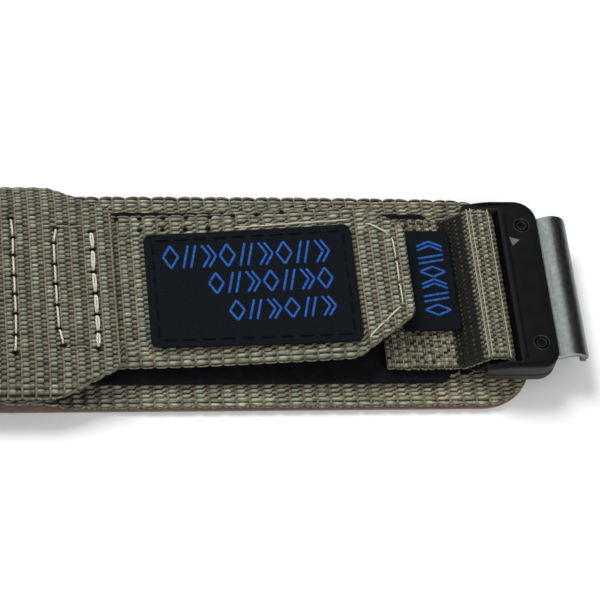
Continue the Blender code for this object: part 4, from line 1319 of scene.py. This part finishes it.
def cover_mesh():
    """The upper shell, with its screw recesses, the bar's pocket and the lug's bed."""
    top, low = COVER[1].z, BASE[1].z + SHELL_SEAM
    bed = LUG_HALF_WIDTH + LAYER_GAP
    tools = [bar_pocket(), boxed(
        (COVER[1].x - LUG_TONGUE - LAYER_GAP, -bed, low - COVER_HALF_WIDTH),
        (COVER[1].x + COVER_HALF_WIDTH, bed, COVER[0].z + LUG_THICKNESS + LAYER_GAP / 2))]
    for box in SCREWS:
        place = (box[0] + box[1]) / 2
        tools.append(drum((place.x, place.y, 0.0), RECESS_RADIUS, top - RECESS_DEPTH, top + COVER_HALF_WIDTH))
    return worked(shell_piece(low, top, ARM_TOP_SLOPE, 0.0), *tools)


def base_mesh():
    """The lower shell, with the bar's pocket."""
    return worked(shell_piece(BASE[0].z, BASE[1].z, 0.0, ARM_LOW_SLOPE), bar_pocket())


def span(body, rows, closed=0):
    """Faces between rows of points, and back to the first row when closed is 1."""
    rows = [[body.verts.new(point) for point in row] for row in rows]
    for first, second in zip(rows, rows[1:] + rows[:closed]):
        for corners in zip(first, first[1:], second[1:], second):
            body.faces.new(corners)
    bmesh.ops.recalc_face_normals(body, faces=body.faces)


def ridge_mesh():
    """The soft ridge along the slot."""
    body = bmesh.new()
    half, rows = COVER_HALF_WIDTH - ARM_THICKNESS, []
    for y in np.linspace(-half, half, 41):
        crest = 1.5 * RIDGE_HEIGHT * arc((half - abs(y)) / RIDGE_WIDTH)
        rows.append([(SLOT_EDGE + RIDGE_WIDTH * share, y,
                      COVER[1].z - RIDGE_HEIGHT / 2 + crest * math.sin(math.pi * share) ** 0.8)
                     for share in np.linspace(0.0, 1.0, 7)])
    span(body, rows)
    return mesh_from(body)


def rims_mesh():
    """Metal rims, lighter than the plastic: one round each screw's recess and one on each screw's head."""
    body = bmesh.new()
    for box in SCREWS:
        place = (box[0] + box[1]) / 2
        for level, share in zip((COVER[1].z, box[1].z), RIM_SHARES):
            reach = share * RECESS_RADIUS
            section = [(reach + RIM_RADIUS * math.cos(a), level + RIM_RADIUS * (math.sin(a) - 0.4))
                       for a in np.linspace(0.0, math.pi, 6)]
            turns = np.linspace(0.0, 2 * math.pi, 40, endpoint=False)
            span(body, [[(place.x + math.cos(turn) * out, place.y + math.sin(turn) * out, z)
                         for out, z in section] for turn in turns], 1)
    return mesh_from(body)


def mark_mesh():
    """A small flat triangle beside the far screw."""
    place = (SCREWS[1][0] + SCREWS[1][1]) / 2
    low, high = (COVER[1].z + level for level in MARK_LEVELS)
    return mesh_from(prism([(place.x + x, place.y + y) for x, y in MARK_CORNERS], low, high), smooth=False)


def lug_path():
    """Middle line of the lug: a flat tongue, an arch and a lip that turns down."""
    start = COVER[1].x
    level = COVER[0].z + LUG_THICKNESS / 2
    reach = LUG[1].x - LUG_THICKNESS / 2 - start
    arch = [(start + reach * along, level + LUG_CREST_RISE * rise) for along, rise in LUG_ARCH_SHARES]
    lip_end = level + LUG_CREST_RISE - LUG_LIP_DROP - LUG_THICKNESS / 2
    arch.append((start + reach, (level + lip_end) / 2))
    return Path([(start - LUG_TONGUE, level), *curve_through(arch, 10), (start + reach, lip_end)])


def lug_edges(x):
    """Near and far edge of the lug's plate, whose tip has rounded corners."""
    tip = LUG[1].x - LUG_THICKNESS / 2
    inset = LUG_TIP_ROUND * max(0.0, (x - (tip - LUG_TIP_ROUND)) / LUG_TIP_ROUND) ** 2
    return inset - LUG_HALF_WIDTH, LUG_HALF_WIDTH - inset


def foot_mesh():
    """The thick foot inside the lug's lip."""
    half = LUG_HALF_WIDTH - LUG_FOOT_INSET
    low = lug_path().points[-1][1] + LUG_FOOT_INSET
    return worked(rounded(boxed(
        (LUG[1].x - LUG_FOOT_DEPTH, -half, low),
        (LUG[1].x - LUG_THICKNESS / 2, half, low + LUG_FOOT_HEIGHT)), LUG_FOOT_ROUND, 3))


def boss_mesh():
    """The block under the lug that holds the detent in its pocket."""
    top = DETENT[1].z + BOSS_TOP_GAP

    def around(grow, low, high):
        """A box round the detent, grown sideways, between two levels."""
        return boxed((DETENT[0].x - grow, DETENT[0].y - grow, low),
                     (DETENT[1].x + grow, DETENT[1].y + grow, high))

    return worked(rounded(around(BOSS_PLAY + BOSS_WALL, BOSS_LOW, top), BOSS_EDGE, 2),
                  around(BOSS_PLAY, BOSS_LOW + BOSS_LIP, top + BOSS_WALL),
                  around(BOSS_PLAY - BOSS_LIP, BOSS_LOW - BOSS_WALL, top))


def nap_relief(settings):
    """Tufts of the soft tape, at random heights."""
    source = np.random.default_rng(5)

    def relief_at(s, y):
        tufts = source.random(y.shape)
        rows = 0.5 + 0.5 * np.sin(2 * np.pi * y / (settings.nap_pitch * 4.0))
        return settings.nap_height * (tufts ** 2 * 1.1 + 0.25 * rows - 0.3)

    return relief_at


def fine_relief(settings):
    """The slight waviness of a label's cloth."""
    along, across = (2 * np.pi / (settings.weave_pitch * share) for share in LABEL_WAVE_SHARES)
    return lambda s, y: LABEL_WAVE * np.sin(along * s) * np.sin(across * y)


def hook_lines(settings):
    """Small hooks over the underside of the hook tape, each a bent stem."""
    path = below_flap(NARROW_THICKNESS / 2 + LAYER_GAP + HOOK_THICKNESS, FLAP[0].x, FLAP[1].x - HOOK_MARGIN)
    pitch, height = settings.hook_pitch, settings.hook_height
    rows = int(2 * NARROW_HALF_WIDTH / pitch)
    lines = []
    for column in range(2, int(path.length / pitch)):
        x, z = path.at(column * pitch)
        near, far = flap_edges(float(x), HOOK_MARGIN + HOOK_INSET)
        lean = height if column % 2 else -height
        for row in range(rows + 1):
            y = (row - rows / 2) * pitch + (column % 2) * pitch / 2
            if near < y < far:
                lines.append([(x, y, z + HOOK_ROOT)] + [
                    (x + HOOK_SPREAD * across, y + lean * across, z - height * down)
                    for across, down in HOOK_CURL])
    return lines


def motif_lines(surface, cells, origin, size, turn=False):
    """Strokes laid on a surface in a row of cells: diamonds, slanted bars and chevrons in turn."""
    lines = []
    for cell in range(cells):
        for stroke in MOTIF_SHAPES[cell % len(MOTIF_SHAPES)]:
            ends = [((cell + 0.08 + 0.80 * along) * size[0] / cells, across * size[1])
                    for along, across in stroke]
            start, end = (np.array(origin) + (place[::-1] if turn else place) for place in ends)
            lines.append([surface(*(start + (end - start) * t), -MOTIF_HEIGHT * 0.3)
                          for t in np.linspace(0.0, 1.0, 9)])
    return lines


class STRAP_OT_webbing(bpy.types.Operator):
    """Weave the pad, the closure, the flap and the two anchor loops"""

    bl_idname = "strap.webbing"
    bl_label = "Weave Webbing"

    def execute(self, context):
        settings = context.scene.strap_webbing
        olive = webbing_finish(settings)
        pad_olive = webbing_finish(settings, "pad_webbing", settings.pad_lightness)
        flap_olive = webbing_finish(settings, "flap_olive_webbing", settings.flap_lightness)
        pad = Weave(level_path(PAD, (PAD[0].z + LINING_THICKNESS + PAD[1].z) / 2), pad_edges,
                    WIDE_HALF_WIDTH + PAD_FAR_OVERHANG / 2, PAD_THICKNESS - LINING_THICKNESS, settings,
                    seed=3, brown_at=pad_browning, shaded=pad_painted_shadow, swell=PAD_SWELL,
                    wide_band=WIDE_HALF_WIDTH / settings.yarn_pitch,
                    covered=(LOOP_TAPE[1].y - LOOP_TAPE[0].y) / 2 - TAPE_CORNER)
        new_piece("pad_cloth", pad.build(), pad_olive, "base_half", "webbing", "base_pad")
        top = PAD[1].z - PAD_END_THICKNESS / 2
        end = Weave(Path([(PAD[0].x + PAD_END_INSET, top), (LOOP_TAPE[0].x + TAPE_CORNER, top)]),
                    lambda x: (-PAD_END_HALF_WIDTH, PAD_END_HALF_WIDTH), PAD_END_HALF_WIDTH,
                    PAD_END_THICKNESS, settings, seed=3, brown_at=pad_browning)
        new_piece("pad_end_cloth", end.build(), pad_olive, "base_half", "webbing")
        lining = sheet_mesh(level_path(PAD, PAD[0].z + LINING_THICKNESS / 2), lining_edges,
                            LINING_THICKNESS, LINING_SAMPLE, LINING_EDGE)
        backing = fibre_finish("pad_lining", settings.lining, (2600.0, 5200.0, 2600.0), (0.7, 1.2), 0.8,
                               (0.00005, 0.8), 0.25)
        new_piece("pad_lining", lining, backing, "base_half", "webbing")
        x = np.linspace(CLOSURE[0].x, CLOSURE[1].x, 400)
        closure = Weave(Path(np.stack([x, closure_level(x)], -1)), closure_edges, WIDE_HALF_WIDTH,
                        PAD_THICKNESS, settings, seed=11, droop_at=closure_droop, pits=box_pits())
        new_piece("closure_cloth", closure.build(), olive, "closure_half", "webbing", "closure_webbing")
        flap = Weave(flap_path(), flap_edges, NARROW_HALF_WIDTH, NARROW_THICKNESS, settings, seed=23,
                     pits=[Pit(x, y, *BORDER_PIT) for x, y in border_holes()],
                     yarn_share=NARROW_YARN_SHARE, wide_band=FLAP_WIDE_BAND)
        piece = new_piece("flap_cloth", flap.build(), flap_olive, None, "webbing", "flap_root", "flap_webbing")
        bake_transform(piece)
        half = LOOP_HALF_WIDTH + LOOP_OVERHANG
        for side, body in zip(SIDES, HALVES):
            loop = Weave(loop_path(side), lambda x: (-half, half), half, NARROW_THICKNESS, settings, seed=31,
                         rib_share=LOOP_RIB_SHARE, yarn_share=NARROW_YARN_SHARE, brown_at=loop_browning,
                         ragged_at=loop_raggedness, shaded=loop_painted_shade)
            end_piece(side, "_loop_cloth", loop.build(), olive, body, "webbing", "_anchor_loop")
        return {"FINISHED"}


class STRAP_OT_tapes(bpy.types.Operator):
    """Make the napped loop tape and the hook tape with its hooks"""

    bl_idname = "strap.tapes"
    bl_label = "Make Tapes"

    def execute(self, context):
        settings = context.scene.strap_tapes
        nap = sheet_mesh(level_path(LOOP_TAPE, (LOOP_TAPE[0].z + LOOP_TAPE[1].z) / 2), tape_edges,
                         TAPE_THICKNESS, settings.nap_pitch, CLOTH_EDGE, nap_relief(settings))
        new_piece("loop_tape_nap", nap, tape_finish(settings, "loop_tape_nap"), "base_half", "loop_tape",
                  "loop_tape")
        hooked = tape_finish(settings, "hook_tape_cloth")
        cloth = sheet_mesh(
            below_flap(NARROW_THICKNESS / 2 + LAYER_GAP + HOOK_THICKNESS / 2,
                       FLAP[0].x, FLAP[1].x - HOOK_MARGIN),
            lambda x: flap_edges(x, HOOK_MARGIN), HOOK_THICKNESS, HOOK_CLOTH_SAMPLE, HOOK_CLOTH_EDGE)
        new_piece("hook_tape_cloth", cloth, hooked, "flap", "hook_tape", "hook_tape")
        hooks = tube_mesh(hook_lines(settings), HOOK_RADIUS, HOOK_RADIUS)
        new_piece("tape_hooks", hooks, hooked, "flap", "hook_tape")
        return {"FINISHED"}


class STRAP_OT_labels(bpy.types.Operator):
    """Make the woven patch and the side label, with their woven shapes"""

    bl_idname = "strap.labels"
    bl_label = "Make Labels"

    def execute(self, context):
        settings = context.scene.strap_labels
        finish = label_finish(settings)
        blue = fibre_finish("blue_motif", settings.motif, (9000.0, 600.0, 600.0), (0.55, 1.35), 0.6,
                            (0.00005, 0.8), 0.25, 2.0)
        above = below_flap(-(NARROW_THICKNESS / 2 + LAYER_GAP + LABEL_THICKNESS / 2), FLAP[0].x, FLAP[1].x)
        path = Path(above.at(np.linspace(above.along_at(PATCH[0].x), above.along_at(PATCH[1].x), 120)))
        free_end = SIDE_LABEL[1] + Vector((LABEL_OVERHANG, 0.0, 0.0))
        label_edges = rounded_edges((SIDE_LABEL[0], free_end), LABEL_CORNER)
        for name, line, edges_at, body, node in (
                ("patch_cloth", path, patch_edges, "flap", "label_patch"),
                ("side_label_cloth", label_path(), label_edges, "base_half", "side_label")):
            cloth = sheet_mesh(line, edges_at, LABEL_THICKNESS, FINE_SAMPLE, CLOTH_EDGE, fine_relief(settings))
            new_piece(name, cloth, finish, body, "label", node)

        def on_patch(x, y, lift):
            return path.over(x, y, LABEL_THICKNESS / 2 + lift)

        def on_label(x, y, lift):
            return label_path().over(x, y, LABEL_THICKNESS / 2 + lift)

        strokes = [line for row in PATCH_ROWS for line in motif_lines(on_patch, *row)]
        new_piece("patch_motif", tube_mesh(strokes, settings.stroke / 2, MOTIF_HEIGHT), blue, "flap", "label")
        strokes = motif_lines(on_label, *LABEL_ROW, True)
        new_piece("side_label_motif", tube_mesh(strokes, settings.stroke / 2, MOTIF_HEIGHT), blue,
                  "base_half", "label")
        seam = thread_finish("black_thread", BLACK_THREAD, 0.06)
        left, right = PATCH[0].x + SEAM_INSET, PATCH[1].x - SEAM_INSET
        corners = [(x, patch_edges(x)[far] + (-SEAM_INSET if far else SEAM_INSET))
                   for x, far in ((left, 0), (right, 0), (right, 1), (left, 1))]
        rows = []
        for start, end in zip(corners, corners[1:] + corners[:1]):
            rows += stitches(dashes(start, end, SEAM_PITCH), on_patch, THREAD_RADIUS * 0.6)
        seam_mesh = tube_mesh(rows, SEAM_RADIUS, SEAM_RADIUS, THREAD_PLY)
        new_piece("patch_stitches", seam_mesh, seam, "flap", "label")
        return {"FINISHED"}


class STRAP_OT_stitching(bpy.types.Operator):
    """Sew the pale, tan and dark threads of the closure and the flap"""

    bl_idname = "strap.stitching"
    bl_label = "Sew Threads"

    def execute(self, context):
        pale = thread_finish("pale_thread", PALE_THREAD)
        tan = thread_finish("tan_thread", TAN_THREAD)
        dark = thread_finish("dark_thread", DARK_THREAD, 0.1)
        radius = THREAD_RADIUS
        box_rows, side_rows, flap_rows = [], [], []
        for row in BOX_ROWS[:2]:
            box_rows += stitches(row, closure_top, radius * 0.9)
        for bulge in (-1.0, 1.0):
            box_rows += stitches(BOX_ROWS[2], closure_top, radius * 1.15, bulge * radius * 0.9)
        for row in BOX_SIDES:
            side_rows += stitches([(x, y - SIDE_ROW_SHIFT) for x, y in row], closure_top, radius * 0.5)
        for row in TIP_ROWS:
            flap_rows += stitches(row, flap_surface, radius * 0.6)
        along = np.linspace(BORDER_LINE[0][0], BORDER_LINE[-1][0], 60)
        flap_rows.append([flap_surface(x, y, radius * (0.3 * math.sin(x / BORDER_LINE_WAVE) - 0.55))
                          for x, y in zip(along, np.interp(along, *zip(*BORDER_LINE)))])
        box_holes = [hole for row in BOX_ROWS for hole in row]
        box_knots = tube_mesh(knots(box_holes, closure_top, BOX_KNOT_REACH), BOX_KNOT_RADIUS, BOX_KNOT_RADIUS)
        flap_knots = tube_mesh(
            knots(border_holes(), flap_surface, FLAP_KNOT_REACH, -KNOT_DEPTH), *FLAP_KNOT_SIZE)
        for name, mesh, finish, body in (
                ("box_stitches", tube_mesh(box_rows, radius, radius, THREAD_PLY), pale, "closure_half"),
                ("box_knots", box_knots, dark, "closure_half"),
                ("flap_knots", flap_knots, dark, "flap"),
                ("box_side_stitches", tube_mesh(side_rows, radius * 0.8, radius * 0.8, THREAD_PLY), tan,
                 "closure_half"),
                ("flap_stitches", tube_mesh(flap_rows, radius * 0.75, radius * 0.75, THREAD_PLY), pale,
                 "flap")):
            new_piece(name, mesh, finish, body, "webbing")
        return {"FINISHED"}


class STRAP_OT_loop_lines(bpy.types.Operator):
    """Lay the raised weft lines along the crests of the anchor loops"""

    bl_idname = "strap.loop_lines"
    bl_label = "Lay Loop Lines"

    def execute(self, context):
        path = loop_path("right")
        lines = [[path.over(BAR_CENTRE.x + shift, y, NARROW_THICKNESS / 2 - LOOP_LINE_DEPTH)
                  for y in np.linspace(-LOOP_HALF_WIDTH, LOOP_HALF_WIDTH, 120)] for shift in LOOP_LINE_SHIFTS]
        both_ends("_loop_lines", lambda: tube_mesh(lines, LOOP_LINE_RADIUS, LOOP_LINE_RADIUS, THREAD_PLY),
                  thread_finish("loop_line", LOOP_LINE_THREAD), HALVES, "webbing")
        return {"FINISHED"}


class STRAP_OT_connectors(bpy.types.Operator):
    """Mould the housings, bend the lugs and finish the bars, screws, detents and springs"""

    bl_idname = "strap.connectors"
    bl_label = "Make Connectors"

    def execute(self, context):
        settings = context.scene.strap_hardware
        plastic = housing_finish(settings)
        rim = metal_finish("grey_metal_rim", RIM_COLOUR, EVEN_GRAIN, (0.3, 0.45))
        # The lug's outer arch is painted darker: painted reflection
        metal = metal_finish("gunmetal", settings.lug, BRUSHED_GRAIN, painted_dark_from=LUG_PAINTED_DARK_FROM)
        dark = metal_finish("dark_gunmetal", [0.4 * c for c in settings.lug], BRUSHED_GRAIN)
        black = metal_finish("black_steel", BLACK_STEEL, EVEN_GRAIN, (0.28, 0.42))
        bright = metal_finish("spring_steel", SPRING_STEEL, SPRING_GRAIN, (0.2, 0.35), 0.08)
        for name, build, finish, slot, *replaced in (
                ("_cover_shell", cover_mesh, plastic, "housing", "_housing_cover"),
                ("_base_shell", base_mesh, plastic, "housing", "_housing_base"),
                ("_cover_ridges", ridge_mesh, plastic, "housing"),
                ("_screw_rims", rims_mesh, rim, "fastener"),
                ("_mark", mark_mesh, mark_finish(settings), "housing"),
                ("_lug_plate", self.bend_lug, metal, "lug", "_lug_hook"),
                ("_lug_foot", foot_mesh, dark, "lug"),
                ("_lug_boss", boss_mesh, dark, "lug")):
            both_ends(name, build, finish, CONNECTORS, slot, *replaced)
        for side in SIDES:
            for node in ("_bar", "_screw_near", "_screw_far"):
                self.dress(side + node, black)
            self.dress(side + "_detent_button", dark)
            self.bow_spring(side, bright)
        return {"FINISHED"}

    def bend_lug(self):
        """The bent metal plate of the lug, with softened edges."""
        return sheet_mesh(lug_path(), lug_edges, LUG_THICKNESS, FINE_SAMPLE, LUG_EDGE)

    def bow_spring(self, side, finish):
        """The bowed leaf over a detent, which the button presses flatter against the roof of its pocket."""
        node = side + "_detent_spring"
        mesh = bpy.data.objects[node].data.copy()
        leaf = new_piece(side + "_spring_leaf", mesh, finish, side + "_connector", "spring", node)
        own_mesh(leaf)

    def dress(self, node, finish):
        """Give a kept solid a better material."""
        mesh = bpy.data.objects[node].data
        mesh.materials.clear()
        mesh.materials.append(finish)


class STRAP_OT_stage(bpy.types.Operator):
    """Set the floor, the lights and the camera"""

    bl_idname = "strap.stage"
    bl_label = "Set Stage"

    def execute(self, context):
        scene, settings = context.scene, context.scene.strap_stage
        scene.view_settings.view_transform = "Standard"
        floor = self.square("floor", settings.floor_size, settings.floor, 0.9)
        floor.location = (0.0, 0.0, CAD_BOX[0].z - FLOOR_GAP)
        card = self.square("dark_card", CARD_SIZE, (0.01, 0.01, 0.01), 1.0)
        self.aim(card, CARD_PLACE)
        card.visible_camera = card.visible_diffuse = card.visible_shadow = False
        self.light_world(scene)
        self.hang_lamps(scene, settings)
        data = bpy.data.cameras.new("photo_camera")
        data.lens, data.sensor_width, data.clip_start = CAMERA_LENS, SENSOR_WIDTH, CLIP_START
        camera = bpy.data.objects.new("photo_camera", data)
        scene.collection.objects.link(camera)
        heading, dip, roll = (Matrix.Rotation(math.radians(turn), 4, axis) for turn, axis in (
            (-CAMERA_HEADING, "Z"), (90.0 - CAMERA_DIP, "X"), (CAMERA_ROLL, "Z")))
        camera.matrix_world = Matrix.Translation(CAMERA_PLACE) @ heading @ dip @ roll
        scene.camera = camera
        return {"FINISHED"}

    def square(self, name, size, colour, roughness):
        """A plain square sheet."""
        body = bmesh.new()
        bmesh.ops.create_grid(body, x_segments=1, y_segments=1, size=size / 2)
        sheet = rough_piece(name, body)
        sheet.data.materials.append(NodeSheet(name).finish(Base_Color=colour, Roughness=roughness))
        return sheet

    def aim(self, thing, place):
        """Put a lamp or a card at a place, turned to the strap."""
        thing.location = place
        thing.rotation_euler = Vector(place).to_track_quat("Z", "Y").to_euler()

    def light_world(self, scene):
        """A soft surround that the camera, metal and gloss see as white."""
        surround = NodeSheet("surround", kind="worlds")
        rays = surround.add("ShaderNodeLightPath", "Is Camera Ray").node.outputs
        seen = rays["Is Camera Ray"]
        for kind in ("Is Glossy Ray", "Is Transmission Ray"):
            seen = surround.sum(seen, rays[kind], "MAXIMUM")
        surround.put(surround.tree.nodes["Background"], {
            "Color": (1.0, 1.0, 1.0), "Strength": surround.ramp(seen, 0.0, 1.0, SURROUND_STRENGTH, 1.0)})
        scene.world = surround.owner

    def hang_lamps(self, scene, settings):
        """A large soft light on the far left, and a weaker one on the near right."""
        for name, place, size, power in (
                ("key_light", KEY_PLACE, KEY_SIZE, settings.key),
                ("fill_light", FILL_PLACE, FILL_SIZE, settings.key * FILL_SHARE)):
            data = bpy.data.lights.new(name, "AREA")
            data.size, data.energy = size, power
            lamp = bpy.data.objects.new(name, data)
            lamp.visible_glossy = False
            self.aim(lamp, place)
            scene.collection.objects.link(lamp)


OPERATORS = (STRAP_OT_webbing, STRAP_OT_tapes, STRAP_OT_labels, STRAP_OT_stitching,
             STRAP_OT_loop_lines, STRAP_OT_connectors, STRAP_OT_stage)


class STRAP_PT_looks(bpy.types.Panel):
    """The strap's pieces, one button each"""

    bl_idname = "STRAP_PT_looks"
    bl_label = "Watch Strap"
    bl_space_type = "VIEW_3D"
    bl_region_type = "UI"
    bl_category = "Strap"

    def draw(self, context):
        layout = self.layout
        for name in SETTINGS:
            settings = getattr(context.scene, name)
            box = layout.box()
            for key in settings.bl_rna.properties.keys():
                if key not in ("rna_type", "name"):
                    box.prop(settings, key)
        for operator in OPERATORS:
            layout.operator(operator.bl_idname)


SETTINGS = {
    "strap_webbing": WebbingSettings,
    "strap_tapes": TapeSettings,
    "strap_labels": LabelSettings,
    "strap_hardware": HardwareSettings,
    "strap_stage": StageSettings,
}
CLASSES = tuple(SETTINGS.values()) + OPERATORS + (STRAP_PT_looks,)


def register():
    """Add the classes and the scene's settings."""
    for kind in CLASSES:
        bpy.utils.register_class(kind)
    for name, kind in SETTINGS.items():
        setattr(bpy.types.Scene, name, PointerProperty(type=kind))


def unregister():
    """Take the classes and the scene's settings away."""
    for name in SETTINGS:
        delattr(bpy.types.Scene, name)
    for kind in reversed(CLASSES):
        bpy.utils.unregister_class(kind)


def main():
    """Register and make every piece."""
    register()
    steps = bpy.ops.strap
    for operator in (steps.webbing, steps.tapes, steps.labels, steps.stitching,
                     steps.loop_lines, steps.connectors, steps.stage):
        operator()


if __name__ == "__main__":
    main()
